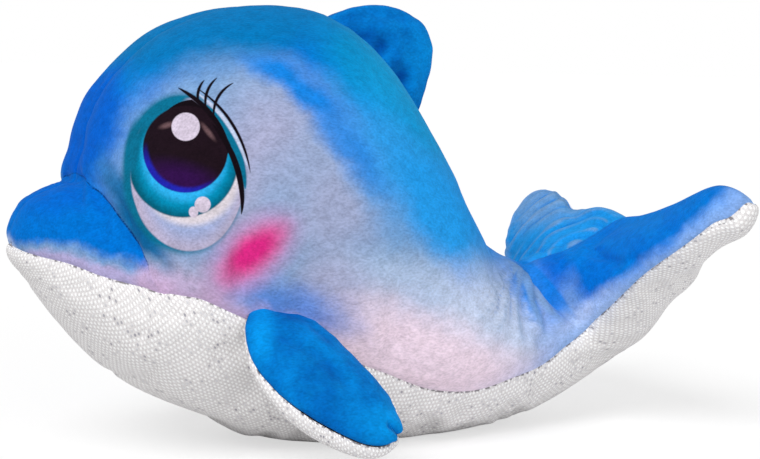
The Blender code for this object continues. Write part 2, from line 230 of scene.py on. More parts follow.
# %% [markdown]
# The two halves become one closed net of vertices, so that a push along the normals keeps the
# cloth whole across the seams. Distances run along the cloth itself, as a tape measure would.

# %% One net of both halves
COLUMNS = SIDE_COLUMNS + BELLY_COLUMNS + 1
ROWS = len(places)
numbers = np.arange(ROWS * COLUMNS).reshape(ROWS, COLUMNS)
left_net = numbers.copy()
right_net = numbers + ROWS * COLUMNS
right_net[:, 0], right_net[:, -1] = left_net[:, 0], left_net[:, -1]
left_net[0], right_net[0] = 0, 0
net_points = np.concatenate([left_half.reshape(-1, 3), right_half.reshape(-1, 3)])
net_points = (net_points + np.array(SHIFT)) * MM


def steps_along(points, axis):
    """Distance in millimetres along one direction of a grid, from its first line."""
    lengths = np.linalg.norm(np.diff(points, axis=axis), axis=-1)
    start = np.zeros_like(np.take(lengths, [0], axis=axis))
    return np.concatenate([start, np.cumsum(lengths, axis=axis)], axis=axis)


def net_normals(points):
    """Unit normals of the whole net, weighted by the areas of the faces."""
    total = np.zeros_like(points)
    for net, order in ((left_net, (0, 1, 2, 3)), (right_net, (3, 2, 1, 0))):
        corners = (net[:-1, :-1], net[:-1, 1:], net[1:, 1:], net[1:, :-1])
        quad = [corners[k].ravel() for k in order]
        normal = np.cross(points[quad[2]] - points[quad[0]], points[quad[3]] - points[quad[1]])
        for corner in quad:
            np.add.at(total, corner, normal)
    return total / np.maximum(np.linalg.norm(total, axis=1, keepdims=True), 1e-12)


def for_both(values):
    """The same value for a vertex of the left half and its mirror image."""
    return np.tile(np.asarray(values, float).reshape(-1), 2)


NO_SEAM_MM = 1000.0
across_mm = steps_along(left_half, 1)
along_mm = steps_along(left_half, 0)
to_back = for_both(across_mm)
to_belly_seam = for_both(np.abs(across_mm - across_mm[:, SIDE_COLUMNS:SIDE_COLUMNS + 1]))
to_tail_edge = for_both(along_mm[-1:] - along_mm)
cloth_length = for_both(along_mm)
row_place = for_both(np.repeat(places[:, None], COLUMNS, axis=1))
column_share = for_both(np.repeat(shares[None, :], ROWS, axis=0))
side_columns = np.arange(COLUMNS) <= SIDE_COLUMNS
on_side = for_both(np.repeat(side_columns[None, :], ROWS, axis=0)) > 0.5
from_seam = np.minimum(np.where(on_side, to_back, NO_SEAM_MM), to_belly_seam)
is_left = np.arange(2 * ROWS * COLUMNS) < ROWS * COLUMNS
photo_xy = photo_place((left_half.reshape(-1, 3) + np.array(SHIFT)) * MM)
photo_xy = np.concatenate([photo_xy, photo_xy])
print("net of", len(net_points), "vertices; belly seam at",
      round(float(across_mm[ROWS // 2, SIDE_COLUMNS])), "mm from the back seam")

# %% [markdown]
# The cloth is cut a little larger than the stuffing needs, so it bulges between its seams and
# buckles into shallow wrinkles. A short cloth simulation finds them. It runs on a coarse copy of
# the net, which takes seconds where the fine net would take minutes, and whose seams are pinned.

# %% Coarse copy of the net
SIM_STEP, SIM_BELLY_STEP = 3, 4
SIM_ROWS = np.arange(0, ROWS, SIM_STEP)
SIM_COLUMNS = np.concatenate([np.arange(0, SIDE_COLUMNS, SIM_STEP),
                              np.arange(SIDE_COLUMNS, COLUMNS, SIM_BELLY_STEP)])
# What lies within a millimetre of a seam, near the floor, or past these sections is pinned.
PINNED_MM, PINNED_BELOW, PINNED_PAST = 1.0, 0.006, (1.0, 24.2)
SEAM_HOLD, STUFFING_HOLD = 1.0, 0.12


def grid_faces(index, flipped=False):
    """Faces over a grid of vertex numbers; a corner that comes twice is taken once."""
    faces = []
    for upper, lower in zip(index[:-1].tolist(), index[1:].tolist()):
        for column in range(len(upper) - 1):
            face = [upper[column], upper[column + 1], lower[column + 1], lower[column]]
            face = list(dict.fromkeys(face))
            faces.append(face[::-1] if flipped else face)
    return faces


def coarse_cloth():
    """Coarse copy of the net as a mesh, with the numbers of its vertices in the net."""
    grids = [net[np.ix_(SIM_ROWS, SIM_COLUMNS)] for net in (left_net, right_net)]
    kept, places_in = np.unique(np.concatenate([grid.ravel() for grid in grids]),
                                return_inverse=True)
    coarse = places_in.reshape(2, len(SIM_ROWS), len(SIM_COLUMNS))
    faces = grid_faces(coarse[0]) + grid_faces(coarse[1], flipped=True)
    mesh = bpy.data.meshes.new("cloth_test")
    mesh.from_pydata(net_points[kept].tolist(), [], faces)
    thing = bpy.data.objects.new("cloth_test", mesh)
    bpy.context.scene.collection.objects.link(thing)
    hold = thing.vertex_groups.new(name="hold")
    lies = net_points[kept, 2] < PINNED_BELOW
    ends = (row_place[kept] < PINNED_PAST[0]) | (row_place[kept] > PINNED_PAST[1])
    pinned = (from_seam[kept] < PINNED_MM) | lies | ends
    for index, weight in enumerate(np.where(pinned, SEAM_HOLD, STUFFING_HOLD)):
        hold.add([index], float(weight), "REPLACE")
    return thing, kept, coarse


print("coarse net:", len(SIM_ROWS), "rows and", len(SIM_COLUMNS), "columns in each half")

# %% [markdown]
# A light pressure blows the coarse copy up, without gravity. Only a few millimetres of what it
# does are kept. They are spread smoothly over the fine net, and fade out at the seams, the beak
# and the flukes, which have named folds of their own.

# %% Simulated bulges and wrinkles
SIM_FRAMES, SIM_QUALITY = 20, 6
SIM_PRESSURE, SIM_LARGER = 4.0, 0.025
SIM_MASS, SIM_BENDING = 0.3, 0.4
BULGE_LIMIT_MM, SEAM_REACH_MM = 3.0, 22.0
BULGE_SPAN = (1.0, 3.0, 21.5, 23.5)


def blown_up(thing):
    """Moves of the vertices of the coarse cloth after the simulation, in millimetres."""
    cloth = thing.modifiers.new("cloth", "CLOTH")
    settings = cloth.settings
    settings.quality = SIM_QUALITY
    settings.mass = SIM_MASS
    settings.effector_weights.gravity = 0.0
    settings.use_pressure = True
    settings.uniform_pressure_force = SIM_PRESSURE
    settings.vertex_group_mass = "hold"
    settings.shrink_min = -SIM_LARGER
    settings.bending_stiffness = SIM_BENDING
    cloth.point_cache.frame_start, cloth.point_cache.frame_end = 1, SIM_FRAMES
    before = np.array([v.co for v in thing.data.vertices])
    scene = bpy.context.scene
    for number in range(1, SIM_FRAMES + 1):
        scene.frame_set(number)
    shown = thing.evaluated_get(bpy.context.evaluated_depsgraph_get()).to_mesh()
    after = np.array([v.co for v in shown.vertices])
    scene.frame_set(1)
    mesh = thing.data
    bpy.data.objects.remove(thing)
    bpy.data.meshes.remove(mesh)
    return (after - before) / MM


def spread(values, known, count):
    """Smooth values on every line of a grid from those on the known lines, along axis 0."""
    wanted = np.arange(count)
    start = np.clip(np.searchsorted(known, wanted, side="right") - 1, 0, len(known) - 2)
    share = (wanted - known[start]) / (known[start + 1] - known[start])
    near = [values[np.clip(start + k, 0, len(known) - 1)] for k in (-1, 0, 1, 2)]
    return curve_point(*near, share.reshape(-1, 1, 1))


def within(value, start, full, fading, end):
    """1 from full to fading, with smooth slopes down to 0 at start and end."""
    return smooth_step(value, start, full) * (1.0 - smooth_step(value, fading, end))


def simulated_moves():
    """Moves of the fine net in metres, from the simulation of the coarse one."""
    thing, kept, coarse = coarse_cloth()
    moves = blown_up(thing)
    length = np.linalg.norm(moves, axis=1, keepdims=True)
    moves *= np.minimum(1.0, BULGE_LIMIT_MM / np.maximum(length, 1e-6))
    print("simulated", len(kept), "vertices; mean move", round(float(length.mean()), 2),
          "mm, largest", round(float(length.max()), 2), "mm")
    fine = np.zeros_like(net_points)
    for grid, net in zip(coarse, (left_net, right_net)):
        rows = spread(moves[grid], SIM_ROWS, ROWS)
        whole = spread(rows.transpose(1, 0, 2), SIM_COLUMNS, COLUMNS).transpose(1, 0, 2)
        fine[net.ravel()] = whole.reshape(-1, 3)
    fading = smooth_step(from_seam, 0.0, SEAM_REACH_MM) * within(row_place, *BULGE_SPAN)
    return fine * fading[:, None] * MM


net_points = net_points + simulated_moves()

# %% [markdown]
# Sewn and turned plush is never smooth. The cloth rolls into each seam, the thread draws the seam
# into small puckers, the filling sits in soft lumps, and the skin folds deeply where the tail
# bends up. Each of these is one small function that says how far the cloth moves in or out.

# %% Seams, puckers and lumps
SEAM_DEPTH, SEAM_WIDTH = 2.0, 3.2
PUCKER_LENGTH, PUCKER_REACH = 7.5, 9.0
PUCKER_STRETCH, PUCKER_START = 0.25, 2.0
# Depth in millimetres, size in millimetres and seed of the lumps of the filling.
BODY_LUMPS = ((1.0, 42.0, 1), (0.35, 15.0, 2))


def noise_at(points, size, seed):
    """Smooth noise from -1 to 1 at points in millimetres, with lumps of a given size."""
    offset = Vector((seed * 17.3, seed * 5.1, seed * 9.7))
    return np.array([noise.noise(Vector(p) / size + offset) for p in points])


def lumps(points, layers):
    """Soft lumps of several sizes, one on the other."""
    return sum(depth * noise_at(points, size, seed) for depth, size, seed in layers)


def seam_roll(distance):
    """Cloth that rolls into a seam."""
    return -SEAM_DEPTH * np.exp(-distance / SEAM_WIDTH)


def seam_puckers(distance, along, seed):
    """Short puckers square to a seam, strongest a little way from it."""
    flat = np.stack([along, np.zeros_like(along), distance * PUCKER_STRETCH], axis=-1)
    wave = noise_at(flat, PUCKER_LENGTH, seed)
    return wave * np.exp(-distance / PUCKER_REACH) * (1.0 - np.exp(-distance / PUCKER_START))


relief = lumps(net_points / MM, BODY_LUMPS)
print("lumps from", round(float(relief.min()), 1), "to", round(float(relief.max()), 1), "mm")

# %% [markdown]
# A dart is a wedge of cloth that is pinched out and sewn up, to give a flat panel a bend. Here it
# shapes the beak. It runs from the crease of the forehead down the cheek, and the cloth swells a
# little beside it. At the dorsal fin, the back seam is gathered more closely.

# %% Dart and gathers
PIXEL_MM = 0.59
# Photo pixels: the line of the dart, from the crease of the forehead down the cheek.
DART_LINE = ((76, 178), (84, 177), (95, 185), (106, 200), (115, 209), (124, 221),
             (133, 237), (141, 251), (148, 264))
DART_DEPTH, DART_WIDTH = 1.9, 2.6
DART_SWELL, DART_SWELL_AT, DART_SWELL_WIDTH = 0.8, 9.0, 6.0
BACK_PUCKER, BELLY_PUCKER = 0.9, 0.8
BACK_SEED, BELLY_SEED, GATHER_SEED = 3, 4, 8
GATHER_DEPTH, GATHER_SIZE, GATHER_REACH, GATHER_STRETCH = 1.9, 6.0, 13.0, 0.3
DORSAL_SPAN = (10.8, 11.8, 14.2, 15.2)
TAIL_HEM_MM = 6.0


def distance_to_line(places_xy, line):
    """Distance from flat points to a line through the given ones, in the same unit."""
    best = np.full(len(places_xy), np.inf)
    for start, end in zip(line[:-1], line[1:]):
        start, step = np.array(start, float), np.array(end, float) - np.array(start, float)
        share = np.clip(((places_xy - start) @ step) / (step @ step), 0.0, 1.0)
        gap = np.linalg.norm(places_xy - start - share[:, None] * step, axis=1)
        best = np.minimum(best, gap)
    return best


def sewn_relief():
    """How far seams, gathers and the dart move the cloth of the body out, in millimetres."""
    back = seam_roll(to_back) + BACK_PUCKER * seam_puckers(to_back, cloth_length, BACK_SEED)
    belly = seam_roll(to_belly_seam)
    belly += BELLY_PUCKER * seam_puckers(to_belly_seam, cloth_length, BELLY_SEED)
    flat = np.stack([cloth_length, to_back * GATHER_STRETCH, 0.0 * to_back], axis=-1)
    gathers = noise_at(flat, GATHER_SIZE, GATHER_SEED) * np.exp(-to_back / GATHER_REACH)
    dart_mm = distance_to_line(photo_xy, DART_LINE) * PIXEL_MM
    swell = DART_SWELL * np.exp(-((dart_mm - DART_SWELL_AT) / DART_SWELL_WIDTH) ** 2)
    dart = swell - DART_DEPTH * np.exp(-dart_mm / DART_WIDTH)
    sides = back + GATHER_DEPTH * gathers * within(row_place, *DORSAL_SPAN) + dart
    return belly + np.where(on_side, sides, 0.0)


normals = net_normals(net_points)
relief = (relief + sewn_relief()) * smooth_step(to_tail_edge, 0.0, TAIL_HEM_MM)
print("relief from", round(float(relief.min()), 1), "to", round(float(relief.max()), 1), "mm")

# %% [markdown]
# Where the tail bends up, the side of the body bulges over the root of the flukes, with a deep
# crease under the bulge. From its upper end, fine folds fan out over the rear of the body.

# %% The fold above the tail
# Places and widths in stations along the body, depths in millimetres.
TAIL_FOLD_PLACE, TAIL_FOLD_DEPTH, TAIL_FOLD_WIDTH = 18.0, 6.0, 0.4
TAIL_FOLD_BEND, TAIL_FOLD_AT_BACK = 0.3, 0.35
CREASE_DEPTH, CREASE_WIDTH = 2.6, 0.10
BULGE_HEIGHT, BULGE_PLACE, BULGE_WIDTH = 2.4, -0.7, 0.42
# Photo pixels: the point that the fine folds fan out from, and how far they reach.
FAN_CENTRE, FAN_REACH = (520.0, 254.0), (4.0, 22.0, 50.0, 115.0)
FAN_ANGLES, FAN_FOLDS, FAN_DEPTH = (0.6, 1.0, 1.9, 2.3), 21.0, 1.1
FAN_WANDER, FAN_LUMP, FAN_STRETCH, FAN_SEED = 1.4, 30.0, 40.0, 5
FAN_LAST_PLACE = 18.2


def tail_fold():
    """Depth of the crease, deepest halfway down the side and gone at the belly seam."""
    halfway = (1.0 - np.cos(math.tau * column_share)) / 2.0
    from_fold = row_place - TAIL_FOLD_PLACE + TAIL_FOLD_BEND * halfway
    wide = TAIL_FOLD_DEPTH * np.exp(-(from_fold / TAIL_FOLD_WIDTH) ** 2)
    sharp = CREASE_DEPTH * np.exp(-np.abs(from_fold) / CREASE_WIDTH)
    bulge = BULGE_HEIGHT * np.exp(-((from_fold - BULGE_PLACE) / BULGE_WIDTH) ** 2)
    down = np.maximum(halfway, TAIL_FOLD_AT_BACK * (1.0 - column_share))
    return np.where(on_side, (bulge - wide - sharp) * down, 0.0)


def fan_folds():
    """Fine folds over the rear of the body that fan out from the top of the crease."""
    reach = photo_xy - np.array(FAN_CENTRE)
    distance = np.linalg.norm(reach, axis=1)
    angle = np.arctan2(reach[:, 1], -reach[:, 0])
    flat = np.stack([distance, angle * FAN_STRETCH, 0.0 * angle], axis=-1)
    ripple = np.sin(angle * FAN_FOLDS + FAN_WANDER * noise_at(flat, FAN_LUMP, FAN_SEED))
    here = within(distance, *FAN_REACH) * within(angle, *FAN_ANGLES)
    return np.where(on_side & (row_place < FAN_LAST_PLACE), FAN_DEPTH * ripple * here, 0.0)


folds = tail_fold() + fan_folds()
print("fold above the tail:", round(float(-folds.min()), 1), "mm deep")

# %% [markdown]
# The right fluke hangs a little folded, so its upper side carries a set of curved wrinkles that
# run from its trailing edge to its root. They lie on circles about one point of the photograph.

# %% Wrinkles of the far fluke
# Photo pixels: middle of the circles, their pitch, and where the wrinkles fade.
WRINKLE_CENTRE, WRINKLE_PITCH, WRINKLE_END = (596.0, 292.0), 8.6, (104.0, 128.0)
WRINKLE_DEPTH, WRINKLE_WANDER, WRINKLE_LUMP = 1.5, 2.4, 16.0
WRINKLE_PATCH, WRINKLE_EVEN, WRINKLE_UNEVEN = 22.0, 0.6, 0.6
WANDER_SEED, PATCH_SEED = 6, 7
WRINKLE_ROOT, WRINKLE_HEM = (18.6, 20.0), (2.0, 12.0)
seen_xy = photo_place(net_points)


def fluke_wrinkles():
    """Curved wrinkles over the upper side of the right fluke."""
    distance = np.linalg.norm(seen_xy - np.array(WRINKLE_CENTRE), axis=1)
    wander = WRINKLE_WANDER * noise_at(net_points / MM, WRINKLE_LUMP, WANDER_SEED)
    ripple = np.sin(distance / WRINKLE_PITCH * math.tau + wander)
    patches = noise_at(net_points / MM, WRINKLE_PATCH, PATCH_SEED)
    uneven = WRINKLE_EVEN + WRINKLE_UNEVEN * patches
    here = smooth_step(row_place, *WRINKLE_ROOT) * smooth_step(to_belly_seam, *WRINKLE_HEM)
    near_root = 1.0 - smooth_step(distance, *WRINKLE_END)
    return np.where(on_side & ~is_left, WRINKLE_DEPTH * ripple * uneven * near_root * here, 0.0)


folds = folds + fluke_wrinkles()
relief = relief + folds
body_points = net_points + normals * (relief * MM)[:, None]
print("deepest relief", round(float(relief.min()), 1), "mm")

# %% [markdown]
# Stuffing does not fill a toy evenly. It is packed tight at the tips of the flukes, which makes
# them blunt, the right fluke is folded over, with a notch in its rear edge, and the forehead sags
# a little over the beak. Such moves are made as a sculptor would, with a soft brush at a place of
# the photograph, across or down as seen there.

# %% Sculpted flukes and forehead
# Photo pixel, then how far to the right and down, and radius of the brush, all in pixels.
LEFT_FLUKE = (((716, 190), (0, -7), 30), ((752, 208), (6, 5), 24), ((664, 306), (-4, -7), 34),
              ((724, 184), (2, -4), 22), ((730, 214), (0, 7), 14))
LEFT_FLUKE_UNDER = (((744, 236), (5, 8), 24),)
RIGHT_FLUKE = (((548, 190), (6, -5), 17), ((575, 208), (-1, 7), 10), ((600, 214), (0, -3), 12))
FOREHEAD = (((68, 172), (-4, 2), 13),)
# The flukes lie past the one station, and the head before the other.
FLUKE_START, HEAD_END = 19.0, 9.0
# No cloth lies lower than this, in metres.
LOWEST = 0.0001


def brushed(strokes, allowed):
    """Moves in metres of the vertices under a few soft brush strokes."""
    moves = np.zeros_like(net_points)
    for centre, (across, down), radius in strokes:
        reach = np.linalg.norm(seen_xy - np.array(centre, float), axis=1) / radius
        strength = np.where(allowed, np.exp(-reach ** 2), 0.0) * PIXEL_MM * MM
        step = across * np.array(camera_right) - down * np.array(camera_up)
        moves += strength[:, None] * step
    return moves


on_fluke, on_head = row_place > FLUKE_START, row_place < HEAD_END
strokes_and_places = ((LEFT_FLUKE, on_fluke & is_left),
                      (LEFT_FLUKE_UNDER, on_fluke & is_left & ~on_side),
                      (RIGHT_FLUKE, on_fluke & ~is_left),
                      (FOREHEAD, on_head))
for strokes, allowed in strokes_and_places:
    body_points = body_points + brushed(strokes, allowed)
    print("brush strokes:", len(strokes), "over", int(allowed.sum()), "vertices")
body_points[:, 2] = np.maximum(body_points[:, 2], LOWEST)

# %% [markdown]
# The net is cut at the seams into the panels that were sewn together: a left and a right side of
# printed plush, and the belly of foil-dot knit. Each keeps three maps: where the print falls, the
# cloth's own millimetres, which set the pitch of the foil dots, and how deep its folds are.

# %% Cut the panels
# Millimetres to one unit of the map: of the cloth and of its folds.
KNIT_MAP_MM, FOLD_MAP_MM = 100.0, 10.0
# The foil dots keep their pitch on this column, a little inside the belly seam.
KNIT_COLUMN = SIDE_COLUMNS + 12
SAME_POINT = 1e-6


def grid_mesh(name, points, maps, flipped):
    """Mesh over a grid of points with its named maps; coincident first rows become one point."""
    rows, columns = points.shape[:2]
    flat = points.reshape(-1, 3)
    index = np.arange(rows * columns).reshape(rows, columns)
    if np.ptp(points[0], axis=0).max() < SAME_POINT:
        index[0] = 0
    faces = grid_faces(index, flipped)
    mesh = bpy.data.meshes.new(name)
    mesh.from_pydata(flat.tolist(), [], faces)
    corner_vertices = np.zeros(len(mesh.loops), int)
    mesh.loops.foreach_get("vertex_index", corner_vertices)
    for layer_name, values in maps.items():
        layer = mesh.uv_layers.new(name=layer_name)
        layer.data.foreach_set("uv", values.reshape(-1, 2)[corner_vertices].ravel())
    loose = bmesh.new()
    loose.from_mesh(mesh)
    bmesh.ops.delete(loose, geom=[v for v in loose.verts if not v.link_faces], context="VERTS")
    loose.to_mesh(mesh)
    loose.free()
    mesh.polygons.foreach_set("use_smooth", [True] * len(mesh.polygons))
    thing = bpy.data.objects.new(name, mesh)
    bpy.context.scene.collection.objects.link(thing)
    return thing


def maps_of(net, cloth_map):
    """Map of the print, in photo pixels over the photo's width, of the cloth, and of its folds."""
    return {"Print": photo_xy[net] / PHOTO_WIDTH, "Cloth": cloth_map, "Folds": folds_xy[net]}


knit_along = np.repeat(along_mm[:, [KNIT_COLUMN]], COLUMNS, axis=1)
knit_xy = np.stack([knit_along, across_mm - across_mm[:, -1:]], axis=-1) / KNIT_MAP_MM
side_xy = np.stack([along_mm, across_mm[:, [SIDE_COLUMNS]] - across_mm], axis=-1) / KNIT_MAP_MM
folds_xy = np.stack([folds / FOLD_MAP_MM, to_belly_seam / KNIT_MAP_MM], axis=-1)
side = slice(0, SIDE_COLUMNS + 1)
side_left = grid_mesh("plush_side_left", body_points[left_net[:, side]],
                      maps_of(left_net[:, side], side_xy[:, side]), False)
side_right = grid_mesh("plush_side_right", body_points[right_net[:, side]],
                       maps_of(right_net[:, side], side_xy[:, side]), True)
belly_left = left_net[:, SIDE_COLUMNS:]
belly_right = right_net[:, SIDE_COLUMNS:-1][:, ::-1]
belly_net = np.concatenate([belly_left, belly_right], axis=1)
mirrored_xy = (knit_xy[:, SIDE_COLUMNS:-1] * (1.0, -1.0))[:, ::-1]
belly_xy = np.concatenate([knit_xy[:, SIDE_COLUMNS:], mirrored_xy], axis=1)
belly = grid_mesh("foil_dot_belly", body_points[belly_net], maps_of(belly_net, belly_xy), False)
for piece, nodes, cloth in ((side_left, ["side_panel_left"], "printed_plush"),
                            (side_right, ["side_panel_right"], "printed_plush"),
                            (belly, ["belly_panel", "body_stuffing"], "foil_dot_fabric")):
    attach(piece, "root")
    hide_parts(*nodes)
    print(piece.name, len(piece.data.polygons), "faces")

# %% [markdown]
# Each fin is a pillow of two panels, sewn round the rim and turned. The CAD model has the same
# pillows with fewer faces; only the outline of the pectoral fins is drawn a little more closely
# here. A panel starts as a grid of rings, from the rim to the middle, whose height follows a
# quarter of a circle, so it meets the other panel at the rim without a ledge.

# %% Pillow of a fin
FIN_RINGS, FIN_SEGMENTS = 40, 240
RIM_SMOOTHING = 17


def closed_curve(points, count):
    """Points on a smooth closed curve through the given ones."""
    ring = np.array(points, float)
    result = []
    for index in range(count):
        place = index * len(ring) / count
        near = [ring[(int(place) + offset) % len(ring)] for offset in (-1, 0, 1, 2)]
        result.append(curve_point(*near, place - int(place)))
    return np.array(result)


def rounded(ring):
    """Closed ring with its corners worn round."""
    weights = np.hanning(2 * RIM_SMOOTHING + 3)[1:-1]
    shifts = range(-RIM_SMOOTHING, RIM_SMOOTHING + 1)
    return sum(w * np.roll(ring, k, axis=0) for w, k in zip(weights, shifts)) / weights.sum()


def fin_cap(outline, puff, lean, axes):
    """Grid of one side of a fin, from its rim to its middle, with its distances to the rim."""
    centre, along, across, facing = [np.array(axis) for axis in axes]
    rim = rounded(closed_curve(outline, FIN_SEGMENTS))
    rim = np.concatenate([rim, rim[:1]])
    middle = rim[:-1].mean(axis=0)
    angle = np.linspace(math.pi / 2.0, 0.0, FIN_RINGS + 1)
    flat = middle + (rim[:, None] - middle) * np.sin(angle)[None, :, None]
    flat = flat + np.cos(angle)[None, :, None] * np.array(lean)
    height = puff * np.cos(angle)[None, :]
    points = centre + flat[..., :1] * along + flat[..., 1:] * across + height[..., None] * facing
    to_rim = steps_along(points, 1)
    rim_length = np.repeat(steps_along(points[:, :1], 0), FIN_RINGS + 1, axis=1)
    return points, flat, to_rim, rim_length


print("a fin panel has", FIN_SEGMENTS, "by", FIN_RINGS, "faces")

# %% [markdown]
# The cloth of a fin gets the same kinds of relief as the body: a roll at the seam, puckers along
# it, lumps of filling, and a few folds that the photograph shows. Such a fold is a line in the
# fin's own millimetres with a depth and a width, and the cloth swells a little beside it.

# %% Relief of a fin
# Depth and size of the lumps, then the seam round the rim, all in millimetres.
FIN_LUMPS = ((1.0, 24.0), (0.35, 9.0))
RIM_DEPTH, RIM_WIDTH, RIM_PUCKER = 1.5, 2.4, 0.8
FOLD_SWELL, FOLD_SWELL_AT = 0.4, 2.2


def outward(points, facing):
    """Unit normals of a cap, turned to the side it faces."""
    normal = np.cross(np.gradient(points, axis=0), np.gradient(points, axis=1))
    normal /= np.maximum(np.linalg.norm(normal, axis=-1, keepdims=True), 1e-9)
    normal[0] = normal[-1] = (normal[0] + normal[-1]) / 2.0
    normal[:, -1] = normal[:, -2].mean(axis=0)
    return normal * np.sign((normal * facing).sum(axis=-1).mean())


def fin_relief(points, flat, to_rim, rim_length, seed, fin_folds):
    """How far a fin's cloth moves out: seam roll, small puckers, lumps and a few named folds."""
    rim_mm = to_rim.reshape(-1)
    layers = [(*layer, seed + number) for number, layer in enumerate(FIN_LUMPS)]
    move = lumps(points.reshape(-1, 3), layers)
    move -= RIM_DEPTH * np.exp(-rim_mm / RIM_WIDTH)
    move += RIM_PUCKER * seam_puckers(rim_mm, rim_length.reshape(-1), seed + len(layers))
    for line, depth, width in fin_folds:
        gap = distance_to_line(flat.reshape(-1, 2), line) / width
        move -= depth * np.exp(-gap ** 2)
        move += FOLD_SWELL * depth * np.exp(-(gap - FOLD_SWELL_AT) ** 2)
    return move.reshape(to_rim.shape)


print("seam round a fin:", RIM_DEPTH, "mm deep")

# %% [markdown]
# A fin ends in the seam of the body. Its pillow reaches a little way in, and what lies deeper
# under the skin is cut away, so that no hidden cloth is left. A search tree over the body's faces
# tells how deep a point lies.

# %% What the body hides
FIN_SINK = 2.5
CORE_HEIGHT = 0.10
quads = grid_faces(left_net[1:]) + grid_faces(right_net[1:])
body_tree = BVHTree.FromPolygons(
    body_points.tolist(),
    [(a, b, c) for a, b, c, _ in quads] + [(a, c, d) for a, _, c, d in quads])


def depth_in_body(point):
    """How far a point lies under the skin of the body, in millimetres; negative outside it."""
    place, normal, _, distance = body_tree.find_nearest(point)
    core = Vector((place.x, 0.0, (place.z + CORE_HEIGHT) / 2.0))
    if normal.dot(place - core) < 0.0:
        normal = -normal
    return distance / MM * (1.0 if (place - point).dot(normal) > 0.0 else -1.0)


def cut_inside_body(thing):
    """Delete the faces of a fin that lie well inside the body."""
    mesh = bmesh.new()
    mesh.from_mesh(thing.data)
    deep = {v for v in mesh.verts if depth_in_body(v.co) > FIN_SINK}
    hidden = [f for f in mesh.faces if all(v in deep for v in f.verts)]
    bmesh.ops.delete(mesh, geom=hidden, context="FACES")
    mesh.to_mesh(thing.data)
    mesh.free()


print("search tree over", 2 * len(quads), "triangles of the body")

# %% [markdown]
# One function sews any side of a fin, because they differ only in outline, puff, place, folds and
# cloth. The dorsal fin stands on the back seam and leans back, like a sail. Both its panels are
# plush, and the photograph shows three soft hollows and a shallow one in the left panel.

# %% Dorsal fin
# How far the middle of a pillow is moved from the middle of its rim: not at all.
UPRIGHT = (0.0, 0.0)
DORSAL_SEEDS = (11, 15)
DORSAL_PLACE, DORSAL_PUFF = 13.0, 12.0
DORSAL_OUTLINE = ((-37, 14), (-23, 25), (0, 31), (21, 28), (36, 20), (42, 5),
                  (40, -13), (34, -30), (25, -44), (11, -36), (-6, -12), (-26, 6))
# Line in the fin's own millimetres, depth and width of each fold.
DORSAL_FOLDS = (
    (((-28, -6), (-12, 8), (-4, 11)), 2.4, 4.6),
    (((-12, -16), (0, 0), (5, 6)), 3.0, 4.4),
    (((4, -34), (14, -20), (17, -12)), 2.4, 4.6),
    (((-24, 18), (0, 24), (20, 22)), 0.8, 2.4),
)
# Segment of the rim where the way that a panel faces is measured.
CHECKED = 5


def make_fin_side(name, outline, puff, lean, axes, seed, fin_folds, stands_for):
    """One sewn side of a fin as a piece of the scene."""
    facing = np.array(axes[3]) * np.sign(puff)
    points, flat, to_rim, rim_length = fin_cap(outline, puff, lean, axes)
    relief_mm = fin_relief(points, flat, to_rim, rim_length, seed, fin_folds)
    shaped = points + outward(points, facing) * relief_mm[..., None]
    in_frame = (laid_flat(shaped) + np.array(SHIFT)) * MM
    edge_along = in_frame[1, CHECKED] - in_frame[0, CHECKED]
    edge_inward = in_frame[0, CHECKED + 1] - in_frame[0, CHECKED]
    faces_out = np.cross(edge_along, edge_inward) @ facing > 0.0
    ray = flat[:, :1] - flat[:, -1:]
    ray = ray / np.linalg.norm(ray, axis=-1, keepdims=True)
    cloth_map = ray * (to_rim[:, -1:] - to_rim)[..., None] / KNIT_MAP_MM
    folds_map = np.stack([relief_mm / FOLD_MAP_MM, to_rim / KNIT_MAP_MM], axis=-1)
    maps = {"Print": photo_place(in_frame) / PHOTO_WIDTH, "Cloth": cloth_map, "Folds": folds_map}
    piece = grid_mesh(name, in_frame, maps, not faces_out)
    cut_inside_body(piece)
    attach(piece, "root")
    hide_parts(*stands_for)
    print(name, len(piece.data.polygons), "faces")
    return piece


back = section_points(DORSAL_PLACE, section_at(DORSAL_PLACE), np.array([0.0]))[0]
dorsal_axes = (back, Vector((1, 0, 0)), Vector((0, 0, 1)), Vector((0, -1, 0)))
dorsal_pieces = [
    make_fin_side("dorsal_left", DORSAL_OUTLINE, DORSAL_PUFF, UPRIGHT, dorsal_axes,
                  DORSAL_SEEDS[0], DORSAL_FOLDS,
                  ["dorsal_fin_left_panel", "dorsal_fin_stuffing"]),
    make_fin_side("dorsal_right", DORSAL_OUTLINE, -DORSAL_PUFF, UPRIGHT, dorsal_axes,
                  DORSAL_SEEDS[1], DORSAL_FOLDS, ["dorsal_fin_right_panel"])]

# %% [markdown]
# The pectoral fins grow from the belly seam, reach forward and down, and rest on the floor. They
# are packed tight, so the knit underside hangs like a bag below the plush top, and the cloth
# puckers at the tip. The right fin is the mirror image of the left one.

